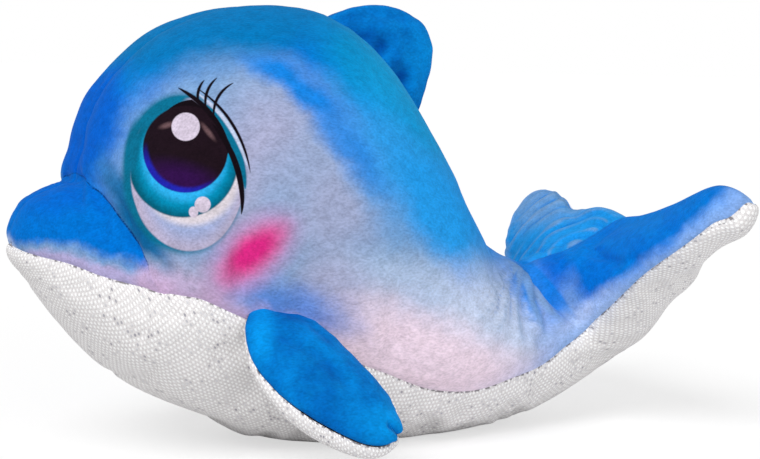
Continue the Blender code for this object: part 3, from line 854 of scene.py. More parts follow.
# %% Pectoral fins
PECTORAL_PLACE, PECTORAL_LENGTH, PECTORAL_TUCK = 9.5, 106.0, 8.0
PECTORAL_ALONG, PECTORAL_FACING = (0.66, -0.42, -0.62), (0.08, -0.78, 0.62)
PECTORAL_OUT, PECTORAL_ROLL = 3.5, math.radians(5.0)
PECTORAL_OUTLINE = ((51, -3), (45, 7), (28, 17), (4, 21), (-22, 24), (-42, 19),
                    (-56, 3), (-50, -15), (-32, -30), (-8, -34), (20, -30), (44, -20))
TOP_PUFF, UNDERSIDE_PUFF, UNDERSIDE_LEAN = 11.0, 19.0, (12.0, -7.0)
TOP_SEED, UNDERSIDE_SEED = 21, 25
PECTORAL_TOP_FOLDS = (
    (((54, -1), (48, -2), (42, -5)), 2.0, 1.8),
    (((-44, 8), (-30, 14), (-14, 12)), 0.6, 3.0),
    (((-30, -8), (-10, -3), (10, -6)), 0.9, 4.0),
    (((50, 8), (42, 9)), 1.0, 1.8),
)
PECTORAL_UNDER_FOLDS = ((((52, 2), (40, 2)), 1.2, 2.2),)


def pectoral_axes(side_name):
    """Middle and directions of a pectoral fin."""
    mirror = Vector((1, 1 if side_name == "left" else -1, 1))
    along = (Vector(PECTORAL_ALONG) * mirror).normalized()
    facing = Vector(PECTORAL_FACING) * mirror
    facing = (facing - along * facing.dot(along)).normalized()
    across = facing.cross(along) if side_name == "left" else along.cross(facing)
    section = section_at(PECTORAL_PLACE)
    seam = section_points(PECTORAL_PLACE, section, np.array([1.0 + section[8]]))[0]
    middle = Vector(seam) * mirror + along * (PECTORAL_LENGTH / 2.0 - PECTORAL_TUCK)
    middle = middle + facing * PECTORAL_OUT
    turned_facing = facing * math.cos(PECTORAL_ROLL) + across * math.sin(PECTORAL_ROLL)
    turned_across = across * math.cos(PECTORAL_ROLL) - facing * math.sin(PECTORAL_ROLL)
    return middle, along, turned_across, turned_facing


top_pieces, under_pieces = [], []
for side_name in ("left", "right"):
    axes = pectoral_axes(side_name)
    top_pieces.append(make_fin_side(
        f"pectoral_{side_name}_plush", PECTORAL_OUTLINE, TOP_PUFF, UPRIGHT, axes,
        TOP_SEED, PECTORAL_TOP_FOLDS,
        [f"pectoral_fin_{side_name}_top", f"pectoral_fin_{side_name}_stuffing"]))
    under_pieces.append(make_fin_side(
        f"pectoral_{side_name}_knit", PECTORAL_OUTLINE, -UNDERSIDE_PUFF, UNDERSIDE_LEAN, axes,
        UNDERSIDE_SEED, PECTORAL_UNDER_FOLDS,
        [f"pectoral_fin_{side_name}_underside"]))

# %% [markdown]
# All cloths are made from nodes, not from pictures, so they stay sharp at any distance. A few
# small helpers each add one node and link it, which keeps the recipes below short: a sum, a soft
# step, one colour over another, a noise, and a bump.

# %% Helpers for nodes
def linear(red, green, blue):
    """Colour written as 0 to 255 on a screen, as the linear values that shaders use."""
    values = [channel / 255.0 for channel in (red, green, blue)]
    return tuple(v / 12.92 if v <= 0.04045 else ((v + 0.055) / 1.055) ** 2.4 for v in values)


def add_node(tree, kind, inputs=None, **settings):
    """Add a node, set it up, and fill or link its inputs by name or number."""
    made = tree.nodes.new(kind)
    for name, value in settings.items():
        setattr(made, name, value)
    for name, value in (inputs or {}).items():
        if isinstance(value, bpy.types.NodeSocket):
            tree.links.new(value, made.inputs[name])
        else:
            made.inputs[name].default_value = value
    return made


def calculate(tree, operation, first, second=0.0):
    """Result of one Math node."""
    return add_node(tree, "ShaderNodeMath", {0: first, 1: second}, operation=operation).outputs[0]


def both(tree, first, second):
    """Product of two numbers, or where two masks overlap."""
    return calculate(tree, "MULTIPLY", first, second)


def vector_math(tree, operation, first, second=(0.0, 0.0, 0.0)):
    """Result of one Vector Math node."""
    return add_node(tree, "ShaderNodeVectorMath", {0: first, 1: second},
                    operation=operation).outputs[0]


def scaled(tree, vector, factor):
    """A vector times a number."""
    return add_node(tree, "ShaderNodeVectorMath", {0: vector, "Scale": factor},
                    operation="SCALE").outputs[0]


def length_of(tree, vector):
    """Length of a vector."""
    return add_node(tree, "ShaderNodeVectorMath", {0: vector}, operation="LENGTH").outputs["Value"]


def feather(tree, value, start, end, first=0.0, last=1.0):
    """Smooth change from one value to another between start and end."""
    return add_node(tree, "ShaderNodeMapRange", {"Value": value, "From Min": start,
                    "From Max": end, "To Min": first, "To Max": last},
                    interpolation_type="SMOOTHSTEP").outputs["Result"]


def painted(tree, under, over, mask):
    """Colour over another where the mask is 1."""
    over = (*over, 1.0) if isinstance(over, tuple) else over
    under = (*under, 1.0) if isinstance(under, tuple) else under
    return add_node(tree, "ShaderNodeMix", {"Factor": mask, 6: under, 7: over},
                    data_type="RGBA").outputs[2]


def cloth_noise(tree, place, size, detail=2.0, roughness=0.5):
    """Noise from 0 to 1 over places, with patches of a given size."""
    return add_node(tree, "ShaderNodeTexNoise", {"Vector": place, "Scale": 1.0 / size,
                    "Detail": detail, "Roughness": roughness}).outputs["Fac"]


def bump(tree, height, strength, depth, under=None):
    """Normal of a surface with fine relief, laid over another relief if one is given."""
    inputs = {"Strength": strength, "Distance": depth, "Height": height}
    if under is not None:
        inputs["Normal"] = under
    return add_node(tree, "ShaderNodeBump", inputs).outputs[0]


def map_part(tree, map_name, part, unit_mm):
    """X or Y of one of the cloth's maps, in millimetres."""
    flat_map = add_node(tree, "ShaderNodeUVMap", uv_map=map_name).outputs[0]
    parts = add_node(tree, "ShaderNodeSeparateXYZ", {0: flat_map})
    return both(tree, parts.outputs[part], unit_mm)


print("white as shaders see it:", linear(255, 255, 255))

# %% [markdown]
# The print needs two drawing tools. The first is a soft spot: an oval that is turned and filled,
# with an edge as hard or as feathered as asked. It is a node group, so that each field of the
# print takes one node and one mix.

# %% Soft spot
FLAT = (1.0, 1.0, 0.0)


def group_with(name, inputs):
    """New node group with the given inputs and one output called Mask."""
    group = bpy.data.node_groups.new(name, "ShaderNodeTree")
    for label, kind in inputs:
        group.interface.new_socket(label, in_out="INPUT", socket_type=kind)
    group.interface.new_socket("Mask", in_out="OUTPUT", socket_type="NodeSocketFloat")
    return group, group.nodes.new("NodeGroupInput").outputs, group.nodes.new("NodeGroupOutput")


def flat_offset(group, source):
    """Flat way from the centre of a spot or stroke to the place."""
    away = vector_math(group, "SUBTRACT", source["Place"], source["Centre"])
    return vector_math(group, "MULTIPLY", away, FLAT)


def make_soft_spot():
    """Node group that fills a turned oval, with an edge as soft as asked."""
    group, source, result = group_with("soft_spot", [
        ("Place", "NodeSocketVector"), ("Centre", "NodeSocketVector"),
        ("Half size", "NodeSocketVector"), ("Turn", "NodeSocketFloat"),
        ("Softness", "NodeSocketFloat")])
    back_turn = both(group, source["Turn"], -1.0)
    turned = add_node(group, "ShaderNodeVectorRotate", {"Vector": flat_offset(group, source),
                      "Angle": back_turn}, rotation_type="Z_AXIS").outputs[0]
    radius = length_of(group, vector_math(group, "DIVIDE", turned, source["Half size"]))
    inner = calculate(group, "SUBTRACT", 1.0, source["Softness"])
    outer = calculate(group, "ADD", 1.0, source["Softness"])
    group.links.new(feather(group, radius, inner, outer, 1.0, 0.0), result.inputs["Mask"])
    return group


soft_spot = make_soft_spot()


def spot(tree, place, centre, half_size, turn=0.0, softness=0.02):
    """Mask of a soft spot given in photo pixels and degrees."""
    return add_node(tree, "ShaderNodeGroup", {"Place": place, "Centre": (*centre, 0.0),
                    "Half size": (*half_size, 1.0), "Turn": math.radians(turn),
                    "Softness": softness}, node_tree=soft_spot).outputs["Mask"]


print("tool:", soft_spot.name, "with", len(soft_spot.nodes), "nodes")

# %% [markdown]
# The second tool is a brush stroke: part of a circle, thickest in its middle and tapered to its
# ends, as a lash or the line of an eyelid is. The angle of a place round the centre says how far
# along the stroke it lies, and so how wide the stroke is there.

# %% Brush stroke
STROKE_TAPER = 0.6
# Angles are wrapped from here to a full turn on, so that no stroke is cut in two.
WRAP_FROM, WRAP_TO = -math.pi * 0.5, math.pi * 1.5


def make_brush_stroke():
    """Node group that draws part of a circle, thickest halfway and tapered to its ends."""
    group, source, result = group_with("brush_stroke", [
        ("Place", "NodeSocketVector"), ("Centre", "NodeSocketVector"),
        ("Radius", "NodeSocketFloat"), ("Start", "NodeSocketFloat"), ("End", "NodeSocketFloat"),
        ("Half width", "NodeSocketFloat"), ("Edge", "NodeSocketFloat")])
    flat = flat_offset(group, source)
    parts = add_node(group, "ShaderNodeSeparateXYZ", {0: flat}).outputs
    angle = calculate(group, "ARCTAN2", parts["Y"], parts["X"])
    past_start = calculate(group, "SUBTRACT", angle, source["Start"])
    wrapped = add_node(group, "ShaderNodeMath", {0: past_start, 1: WRAP_TO, 2: WRAP_FROM},
                       operation="WRAP").outputs[0]
    span = calculate(group, "SUBTRACT", source["End"], source["Start"])
    share = calculate(group, "DIVIDE", wrapped, span)
    rest = calculate(group, "SUBTRACT", 1.0, share)
    hump = calculate(group, "MAXIMUM", both(group, share, both(group, rest, 4.0)), 0.0)
    taper = calculate(group, "POWER", hump, STROKE_TAPER)
    width = both(group, source["Half width"], taper)
    off_circle = calculate(group, "SUBTRACT", length_of(group, flat), source["Radius"])
    inside = calculate(group, "SUBTRACT", width, calculate(group, "ABSOLUTE", off_circle))
    mask = feather(group, inside, both(group, source["Edge"], -1.0), source["Edge"])
    on_arc = calculate(group, "GREATER_THAN", taper, 0.0)
    group.links.new(both(group, mask, on_arc), result.inputs["Mask"])
    return group


brush_stroke = make_brush_stroke()


def stroke(tree, place, centre, radius, start, end, half_width, edge=0.6):
    """Mask of a brush stroke given in photo pixels and degrees."""
    return add_node(tree, "ShaderNodeGroup", {"Place": place, "Centre": (*centre, 0.0),
                    "Radius": radius, "Start": math.radians(start), "End": math.radians(end),
                    "Half width": half_width, "Edge": edge}, node_tree=brush_stroke).outputs["Mask"]


print("tool:", brush_stroke.name, "with", len(brush_stroke.nodes), "nodes")

# %% [markdown]
# The pile of the plush is about a millimetre long. It is too fine to model, so it is a bump of
# short hairs that lie along the body, a slight change of colour from tuft to tuft, and a sheen,
# which catches the light where the cloth turns away.

# %% Plush pile
PILE_ROUGHNESS, PILE_SPECULAR = 0.95, 0.03
PILE_SHEEN, PILE_SHEEN_ROUGHNESS, PILE_SHEEN_TINT = 0.12, 0.4, (0.30, 0.70, 1.0, 1.0)
# Hairs and tufts: stretch along the body, size in millimetres, detail of the noise.
HAIRS = ((0.45, 1.0, 0.8), 0.9, 2.0)
TUFTS = ((0.6, 1.0, 1.0), 4.5, 3.0)
HAIR_RANGE, TUFT_RANGE = (0.25, 0.75), (0.3, 0.7)
HAIR_SHADE, TUFT_SHADE = 0.13, 0.08
# Strength, and depth in metres, of each bump.
HAIR_BUMP, TUFT_BUMP = (0.5, 0.0005), (0.35, 0.0012)


def new_cloth(name):
    """Empty material and its shader."""
    material = bpy.data.materials.new(name)
    material.use_nodes = True
    return material, material.node_tree, material.node_tree.nodes["Principled BSDF"]


def object_mm(tree):
    """Place on the object in millimetres."""
    here = add_node(tree, "ShaderNodeTexCoord").outputs["Object"]
    return scaled(tree, here, 1.0 / MM)


def combed(tree, place, stretch, size, detail):
    """Noise whose patches are drawn out the way the pile is combed, from beak to tail."""
    return cloth_noise(tree, vector_math(tree, "MULTIPLY", place, stretch), size, detail)


def finish_plush(tree, shader, colour):
    """Give a colour the tufts, the bump and the sheen of short pile."""
    place = object_mm(tree)
    hairs, tufts = combed(tree, place, *HAIRS), combed(tree, place, *TUFTS)
    shade = calculate(tree, "ADD", feather(tree, hairs, *HAIR_RANGE, -HAIR_SHADE, HAIR_SHADE),
                      feather(tree, tufts, *TUFT_RANGE, -TUFT_SHADE, TUFT_SHADE))
    toned = add_node(tree, "ShaderNodeHueSaturation", {"Color": colour,
                     "Value": calculate(tree, "ADD", 1.0, shade)}).outputs[0]
    tree.links.new(toned, shader.inputs["Base Color"])
    tree.links.new(bump(tree, hairs, *HAIR_BUMP, bump(tree, tufts, *TUFT_BUMP)),
                   shader.inputs["Normal"])
    shader.inputs["Roughness"].default_value = PILE_ROUGHNESS
    shader.inputs["Sheen Weight"].default_value = PILE_SHEEN
    shader.inputs["Sheen Roughness"].default_value = PILE_SHEEN_ROUGHNESS
    shader.inputs["Sheen Tint"].default_value = PILE_SHEEN_TINT
    shader.inputs["Specular IOR Level"].default_value = PILE_SPECULAR


print("pile: hairs of", HAIRS[1], "mm in tufts of", TUFTS[1], "mm")

# %% [markdown]
# The print looks like watercolour: wide fields that run into each other with ragged, feathered
# edges. Each field is one soft spot over the last one, and a wandering noise moves its edge. The
# order is that of a painter: blue ground, pale face and flank, pink towards the belly, then the
# darker washes. Places are photo pixels, because the map of the print was taken from the camera.

# %% Watercolour fields
AZURE, DEEP_BLUE, TEAL_BLUE = linear(2, 122, 212), linear(0, 90, 196), linear(0, 134, 188)
CROWN_BLUE, RIDGE_BLUE, SKY_BLUE = linear(0, 112, 174), linear(6, 150, 206), linear(30, 150, 226)
LILAC_BLUE, LILAC, PALE_PINK = linear(126, 158, 196), linear(172, 164, 190), linear(238, 216, 230)
ICE, TIP_SLATE = linear(206, 216, 238), linear(70, 118, 180)

# Ink, centre and half size in photo pixels, turn in degrees, softness, strength.
BODY_FIELDS = (
    (CROWN_BLUE, (210, 22), (170, 52), -8, 0.5, 0.95),
    (TEAL_BLUE, (370, 70), (40, 60), -30, 0.5, 0.9),
    (RIDGE_BLUE, (412, 130), (34, 90), -24, 0.5, 0.9),
    (SKY_BLUE, (460, 220), (26, 50), -34, 0.5, 0.9),
    (LILAC_BLUE, (240, 196), (126, 132), 0, 0.20, 0.95),
    (LILAC, (274, 180), (60, 84), 0, 0.6, 0.7),
    (DEEP_BLUE, (88, 128), (30, 70), 24, 0.4, 0.95),
    (LILAC_BLUE, (424, 322), (116, 84), 20, 0.3, 0.95),
    (LILAC_BLUE, (345, 240), (90, 100), 0, 0.4, 0.9),
    (LILAC, (330, 210), (40, 50), 0, 0.7, 0.5),
    (AZURE, (276, 76), (32, 13), 24, 0.7, 0.95),
    (SKY_BLUE, (384, 162), (32, 66), -26, 0.8, 0.75),
    (AZURE, (312, 101), (36, 15), 38, 0.7, 0.95),
    (AZURE, (346, 150), (46, 16), 50, 0.7, 0.75),
    (SKY_BLUE, (434, 208), (72, 28), 62, 0.5, 0.95),
    (AZURE, (462, 286), (24, 15), 50, 0.7, 0.45),
    (ICE, (486, 334), (64, 60), -20, 0.6, 0.8),
    (ICE, (402, 284), (58, 24), 16, 0.8, 0.45),
    (PALE_PINK, (408, 352), (124, 40), 14, 0.5, 0.95),
    (LILAC, (190, 286), (110, 26), 12, 0.6, 0.7),
    (LILAC, (330, 290), (40, 30), 12, 0.7, 0.6),
    (PALE_PINK, (388, 318), (34, 24), 30, 0.8, 0.5),
    # Darker blue round the root of the left pectoral fin: part print, part painted shade.
    (AZURE, (290, 310), (54, 26), 16, 0.6, 0.7),
    (AZURE, (516, 276), (6, 26), -16, 0.8, 0.6),
    (AZURE, (528, 284), (6, 30), -22, 0.7, 0.9),
    (AZURE, (536, 300), (5, 24), -22, 0.8, 0.5),
)
FLUKE_FIELDS = {
    "left": (
        (DEEP_BLUE, (562, 280), (12, 34), -28, 0.6, 0.5),
        (ICE, (592, 312), (15, 40), 50, 0.7, 0.75),
        (LILAC_BLUE, (573, 298), (9, 20), -12, 0.8, 0.6),
        (TIP_SLATE, (740, 194), (22, 12), 30, 0.8, 0.7),
    ),
    "right": (
        (SKY_BLUE, (620, 240), (110, 60), -24, 0.4, 0.9),
        (LILAC_BLUE, (710, 196), (70, 18), -26, 0.5, 0.6),
    ),
}
print(len(BODY_FIELDS), "fields on the body,", len(FLUKE_FIELDS["left"]), "on the left fluke")

# %% [markdown]
# Real ink runs into the pile. So the places that the fields are drawn at are first moved about by
# noise: a large one bends whole edges, and two small ones fray them.

# %% Running ink
# Sizes of the noise in pixels, and how strong the finest is beside the middle one.
WANDER_SIZES, FINE_SHARE = (58.0, 11.0, 3.0), 0.4
WANDER_DETAIL, MIDDLE_GREY = 3.0, (0.5, 0.5, 0.5)


def wandering(tree, place, far, near):
    """Places moved about by three sizes of noise, so that edges drawn from them run and fray."""
    moved = place
    for size, reach in zip(WANDER_SIZES, (far, near, FINE_SHARE * near)):
        colour = add_node(tree, "ShaderNodeTexNoise", {"Vector": place, "Scale": 1.0 / size,
                          "Detail": WANDER_DETAIL}).outputs["Color"]
        centred = vector_math(tree, "SUBTRACT", colour, MIDDLE_GREY)
        moved = vector_math(tree, "ADD", moved, scaled(tree, centred, 2.0 * reach))
    return moved


def photo_pixels(tree):
    """Where the print falls, in pixels of the photograph."""
    flat_map = add_node(tree, "ShaderNodeUVMap", uv_map="Print").outputs[0]
    return scaled(tree, flat_map, float(PHOTO_WIDTH))


def wash(tree, colour, place, ink, centre, half_size, turn, softness, strength):
    """One field of the watercolour over what is there."""
    mask = spot(tree, place, centre, half_size, turn, softness)
    return painted(tree, colour, ink, both(tree, mask, strength))


print("ink runs by noise of", len(WANDER_SIZES), "sizes")

# %% [markdown]
# The beak is part of the same panel, but the dart cuts the print there: in front of it the plush
# is blue down to a lilac edge, and behind it a sea-green shade leads up to the eye. The dart is
# nearly a circle, so one hard spot is the whole beak. The blush is a hot pink oval in a rosy halo.

# %% Beak and cheek
SEA_SHADE, CHIN_LILAC = linear(2, 96, 150), linear(202, 172, 208)
BEAK_BLUE, BEAK_LILAC, DART_NAVY = linear(0, 108, 198), linear(180, 168, 210), linear(0, 46, 104)
ROSE, HOT_PINK = linear(208, 122, 180), linear(208, 32, 122)
# Centre, half size, turn and softness of the beak, then its dart as a stroke round it.
BEAK_SPOT = ((-54.8, 345.3), (218.3, 218.3), 0, 0.006)
DART_STROKE = ((-54.8, 345.3), 218.3, -54, -20, 1.0, 0.7)
# The thread of the dart comes and goes: size in pixels, range of the noise, faint and full ink.
DART_STITCH_PIXELS, DART_STITCH_RANGE, DART_STITCH_INK = 2.2, (0.36, 0.56), (0.35, 0.95)
CHEEK_FIELD = (SEA_SHADE, (132, 212), (11, 50), -24, 0.5, 0.9)
DART_SHADE = (SEA_SHADE, (144, 232), (13, 40), -36, 0.5, 0.95)
CORNER_FIELD = (LILAC_BLUE, (152, 268), (16, 11), 0, 0.6, 0.9)
CHIN_FIELD = (CHIN_LILAC, (153, 284), (17, 17), 0, 0.6, 0.85)
BEAK_FIELDS = (
    (DEEP_BLUE, (56, 196), (40, 18), 0, 0.7, 0.5),
    (LILAC_BLUE, (54, 338), (160, 93), 9, 0.08, 0.9),
    (BEAK_LILAC, (54, 346), (160, 92), 9, 0.06, 0.9),
    (ICE, (2, 242), (9, 14), 10, 0.5, 0.6),
)
BLUSH_FIELDS = (
    (ROSE, (252, 254), (44, 25), -42, 0.65, 0.75),
    (HOT_PINK, (254, 253), (35, 15), -42, 0.65, 0.97),
)


def paint_beak(tree, colour, ragged, place):
    """Beak, its lilac edge, the sea-green shade behind the dart and the dart itself."""
    colour = wash(tree, colour, ragged, *CHEEK_FIELD)
    colour = wash(tree, colour, place, *DART_SHADE)
    colour = wash(tree, colour, ragged, *CORNER_FIELD)
    beak = BEAK_BLUE
    for field in BEAK_FIELDS:
        beak = wash(tree, beak, ragged, *field)
    colour = painted(tree, colour, beak, spot(tree, place, *BEAK_SPOT))
    colour = wash(tree, colour, ragged, *CHIN_FIELD)
    thread = cloth_noise(tree, place, DART_STITCH_PIXELS, 0.0)
    stitches = feather(tree, thread, *DART_STITCH_RANGE, *DART_STITCH_INK)
    return painted(tree, colour, DART_NAVY, both(tree, stroke(tree, place, *DART_STROKE), stitches))


def paint_blush(tree, colour, place):
    """Blush on the cheek."""
    for field in BLUSH_FIELDS:
        colour = wash(tree, colour, place, *field)
    return colour


print(len(BEAK_FIELDS), "fields on the beak and", len(BLUSH_FIELDS), "on the cheek")

# %% [markdown]
# The eye is printed too. It is an egg of lilac white inside a sea-green line, with a ringed iris
# and a shaded upper part. Its edges are crisp, so it is drawn on the straight map, with no
# wandering. Every part is an oval, named here, and some show only inside another one.

# %% Eye
EYE_WHITE, EYE_WARM, EYE_LINE = linear(150, 164, 204), linear(206, 198, 206), linear(8, 104, 136)
IRIS_RIM, IRIS_MID, IRIS_GLOW = linear(2, 84, 106), linear(2, 132, 172), linear(44, 168, 226)
EYE_TURN = -3.5
# Centre and half size in photo pixels, turn in degrees, softness.
EYE_PARTS = {
    "outline": ((186, 175.5), (59.5, 78), EYE_TURN, 0.06),
    "eyeball": ((189.5, 176), (55, 75), EYE_TURN, 0.016),
    "white": ((191, 174), (47, 66), EYE_TURN, 0.18),
    "warm": ((193, 178), (48, 48), 0, 0.10),
    "iris": ((185.5, 164), (53.5, 54), 0, 0.02),
    "iris middle": ((187, 164), (47, 48), 0, 0.16),
    "iris glow": ((187, 159), (41, 43), 0, 0.12),
    "upper shade": ((150, 96), (62, 32), -33, 0.14),
    "upper limit": ((187, 176), (58, 77), EYE_TURN, 0.02),
    "left corner": ((136, 152), (6.5, 27), 9, 0.35),
    "lid": ((125.4, 199.2), (118.5, 118.5), 0, 0.006),
    "under lid": ((196, 140), (37, 37), 0, 0.014),
    "pupil": ((188, 151.5), (41.5, 42.5), 0, 0.02),
    "pupil cut": ((197.1, 166.4), (60.7, 60.7), 0, 0.012),
    "purple gleam": ((182, 182), (36, 15), 14, 0.7),
    "gleam hole": ((191, 147), (40, 42), 0, 0.07),
    "blue gleam": ((172, 182), (42, 24), 26, 0.4),
    "left glint": ((170, 128), (6.5, 2.4), -18, 0.7),
    "right glint": ((210, 134.5), (9, 2.2), 52, 0.7),
    "large highlight": ((188.2, 129.6), (13.8, 13.8), 0, 0.05),
    "lower highlight": ((204.4, 205.6), (7.8, 7.8), 0, 0.08),
    "small highlight": ((195.4, 212.8), (4.6, 5.4), 0, 0.14),
}


def eye_part(tree, place, name, inside=None):
    """Mask of a named part of the eye, only inside another part if one is given."""
    mask = spot(tree, place, *EYE_PARTS[name])
    return mask if inside is None else both(tree, mask, spot(tree, place, *EYE_PARTS[inside]))


def paint_eyeball(tree, colour, place):
    """Outline, white, iris and upper shade of the eye."""
    def over(under, ink, name, inside=None):
        return painted(tree, under, ink, eye_part(tree, place, name, inside))
    colour = over(colour, EYE_LINE, "outline")
    white = over(over(LILAC, EYE_WHITE, "white"), EYE_WARM, "warm")
    colour = over(colour, white, "eyeball")
    iris = over(over(IRIS_RIM, IRIS_MID, "iris middle"), IRIS_GLOW, "iris glow")
    colour = over(colour, iris, "iris", "eyeball")
    colour = over(colour, EYE_LINE, "upper shade", "upper limit")
    return over(colour, EYE_LINE, "left corner")


print("the eye has", len(EYE_PARTS), "parts")

# %% [markdown]
# The pupil is dark and cut off by the upper lid. It glows purple and blue below, and has two
# small brown glints. Three pale highlights lie over everything and make the eye look wet.

# %% Pupil and highlights
LID_BLACK, PUPIL_DARK = linear(18, 10, 16), linear(28, 16, 24)
PUPIL_PURPLE, PUPIL_BLUE = linear(46, 14, 68), linear(30, 34, 160)
GLINT, HIGHLIGHT = linear(96, 72, 76), linear(200, 188, 206)
GLINTS = ("left glint", "right glint")
HIGHLIGHTS = ("large highlight", "lower highlight", "small highlight")


def paint_pupil(tree, colour, place):
    """Dark pupil under the lid, with its gleam and its glints."""
    colour = painted(tree, colour, LID_BLACK, eye_part(tree, place, "lid", "under lid"))
    pupil = painted(tree, PUPIL_DARK, PUPIL_PURPLE, eye_part(tree, place, "purple gleam"))
    around = feather(tree, eye_part(tree, place, "gleam hole"), 0.0, 1.0, 1.0, 0.0)
    gleam = both(tree, around, eye_part(tree, place, "blue gleam"))
    pupil = painted(tree, pupil, PUPIL_BLUE, gleam)
    for name in GLINTS:
        pupil = painted(tree, pupil, GLINT, eye_part(tree, place, name))
    return painted(tree, colour, pupil, eye_part(tree, place, "pupil", "pupil cut"))


def paint_highlights(tree, colour, place):
    """Pale round highlights."""
    for name in HIGHLIGHTS:
        colour = painted(tree, colour, HIGHLIGHT, eye_part(tree, place, name))
    return colour


print("the pupil has", len(GLINTS), "glints and", len(HIGHLIGHTS), "highlights")

# %% [markdown]
# Thin strokes of the brush finish the eye: two coloured lines inside the upper lid, three black
# ones for the lid itself, and three lashes that stand on it.

# %% Lid and lashes
LID_PALE = linear(178, 190, 216)
# Ink, centre, radius, start and end angle, half width and edge.
LID_LINES = (
    (EYE_LINE, (125.4, 199.2), 121.0, -54, -4, 4.6, 1.0),
    (LID_PALE, (125.4, 199.2), 126.4, -54, -14, 2.0, 1.0),
)
BLACK_STROKES = (
    (LID_BLACK, (131.7, 184.1), 104.8, -62, -20, 2.6),
    (LID_BLACK, (130.7, 202.2), 112.2, -42, 7, 3.0),
    (LID_BLACK, (132.8, 191.4), 119.5, -56, -8, 1.5),
    (LID_BLACK, (223.7, 100.5), 23.6, 160, 224, 1.5),
    (LID_BLACK, (238.5, 106.1), 31.0, 166, 231, 1.5),
    (LID_BLACK, (249.3, 117.8), 33.8, 172, 245, 1.5),
)


def paint_strokes(tree, colour, place, strokes):
    """A row of brush strokes, one over the other."""
    for ink, *shape in strokes:
        colour = painted(tree, colour, ink, stroke(tree, place, *shape))
    return colour


def paint_eye(tree, colour, place):
    """The printed eye, from its outline to its lashes."""
    colour = paint_eyeball(tree, colour, place)
    colour = paint_strokes(tree, colour, place, LID_LINES)
    colour = paint_highlights(tree, paint_pupil(tree, colour, place), place)
    return paint_strokes(tree, colour, place, BLACK_STROKES)


print(len(LID_LINES) + len(BLACK_STROKES), "strokes on the lid")

# %% [markdown]
# The ridges of the folds get a painted highlight of pale lilac, and their depths a painted shade of
# deeper blue. The print also ends in a pale edge along the belly seam, pink on the body and lilac on
# the flukes. Both come from the maps that the panels brought with them: how deep each fold is, and
# how far the seam is.

# %% Painted light and shade on the folds, and the pale edge
SKY_LILAC = linear(150, 184, 236)
# Height of the folds in millimetres where the painted shade and the painted highlight begin and are
# full.
FOLD_SHADE_MM, FOLD_HIGHLIGHT_MM, FOLD_HIGHLIGHT_STRENGTH = (-0.3, -1.6), (0.2, 1.5), 0.7
# Photo pixels: below this row the folds get no painted shade and keep the colour of the belly.
FOLD_ROWS, FOLD_SHADE_STRENGTH = (326.0, 290.0), 0.8
EDGE_MM, EDGE_STRENGTH = (1.0, 17.0), 0.75
# The edge runs in and out: how far, then size in pixels, detail and range of the noise.
EDGE_RUN_MM, EDGE_RUN, EDGE_RUN_RANGE = 4.0, (26.0, 3.0), (0.2, 0.8)
# Photo pixels: columns between which the edge turns from lilac to pink, and then to lilac.
PINK_COLUMNS, TAIL_COLUMNS = (230.0, 340.0), (470.0, 580.0)


def paint_fold_light_and_shade(tree, colour, place):
    """Painted highlight on the ridges and painted shade in the depths of the folds, from the map of
    the folds.
    """
    height = map_part(tree, "Folds", "X", FOLD_MAP_MM)
    down = add_node(tree, "ShaderNodeSeparateXYZ", {0: place}).outputs["Y"]
    above_belly = feather(tree, down, *FOLD_ROWS, 0.0, FOLD_SHADE_STRENGTH)
    # Painted shade: deeper blue in the depths of the folds.
    colour = painted(tree, colour, AZURE, both(tree, feather(tree, height, *FOLD_SHADE_MM), above_belly))
    # Painted highlight: pale lilac on the ridges of the folds.
    fold_highlight = feather(tree, height, *FOLD_HIGHLIGHT_MM, 0.0, FOLD_HIGHLIGHT_STRENGTH)
    return painted(tree, colour, LILAC_BLUE, fold_highlight)


def paint_seam_edge(tree, colour, place):
    """Pale edge of the print along the belly seam."""
    to_seam = map_part(tree, "Cloth", "Y", KNIT_MAP_MM)
    patches = cloth_noise(tree, place, *EDGE_RUN)
    run = feather(tree, patches, *EDGE_RUN_RANGE, -EDGE_RUN_MM, EDGE_RUN_MM)
    near = feather(tree, calculate(tree, "ADD", to_seam, run), *EDGE_MM, 1.0, 0.0)
    along = add_node(tree, "ShaderNodeSeparateXYZ", {0: place}).outputs["X"]
    ink = painted(tree, CHIN_LILAC, PALE_PINK, feather(tree, along, *PINK_COLUMNS))
    ink = painted(tree, ink, SKY_LILAC, feather(tree, along, *TAIL_COLUMNS))
    return painted(tree, colour, ink, both(tree, near, EDGE_STRENGTH))


print("the pale edge is", EDGE_MM[1], "mm wide")

# %% [markdown]
# Now the print is put together in the order of a painter: a mottled blue ground, the fields, the
# painted light and shade of the folds, the edge, the beak and the blush, and the eye last, over all
# of them. The two sides are mirror twins, apart from the fields on their flukes.

# %% Print of the sides
RAGGED_INK, GENTLE_INK = (15.0, 4.0), (4.0, 1.5)
# Wet patches of the ground: size in pixels, detail and roughness of the noise.
WET_PATCHES, WET_RANGE, WET_STRENGTH = (34.0, 4.0, 0.6), (0.35, 0.65), 0.35


def printed_plush(side_name):
    """The whole print of one side."""
    material, tree, shader = new_cloth(f"printed_plush_{side_name}")
    place = photo_pixels(tree)
    ragged = wandering(tree, place, *RAGGED_INK)
    gentle = wandering(tree, place, *GENTLE_INK)
    wet = feather(tree, cloth_noise(tree, place, *WET_PATCHES), *WET_RANGE)
    colour = painted(tree, AZURE, DEEP_BLUE, both(tree, wet, WET_STRENGTH))
    for field in BODY_FIELDS + FLUKE_FIELDS[side_name]:
        colour = wash(tree, colour, ragged, *field)
    # Painted light and shade of the folds.
    colour = paint_fold_light_and_shade(tree, colour, place)
    colour = paint_seam_edge(tree, colour, place)
    colour = paint_beak(tree, colour, ragged, place)
    colour = paint_blush(tree, colour, gentle)
    colour = paint_eye(tree, colour, place)
    finish_plush(tree, shader, colour)
    return material


for piece, side_name in ((side_left, "left"), (side_right, "right")):
    piece.data.materials.append(printed_plush(side_name))
    print(piece.name, "has", len(piece.data.materials[0].node_tree.nodes), "nodes in its print")
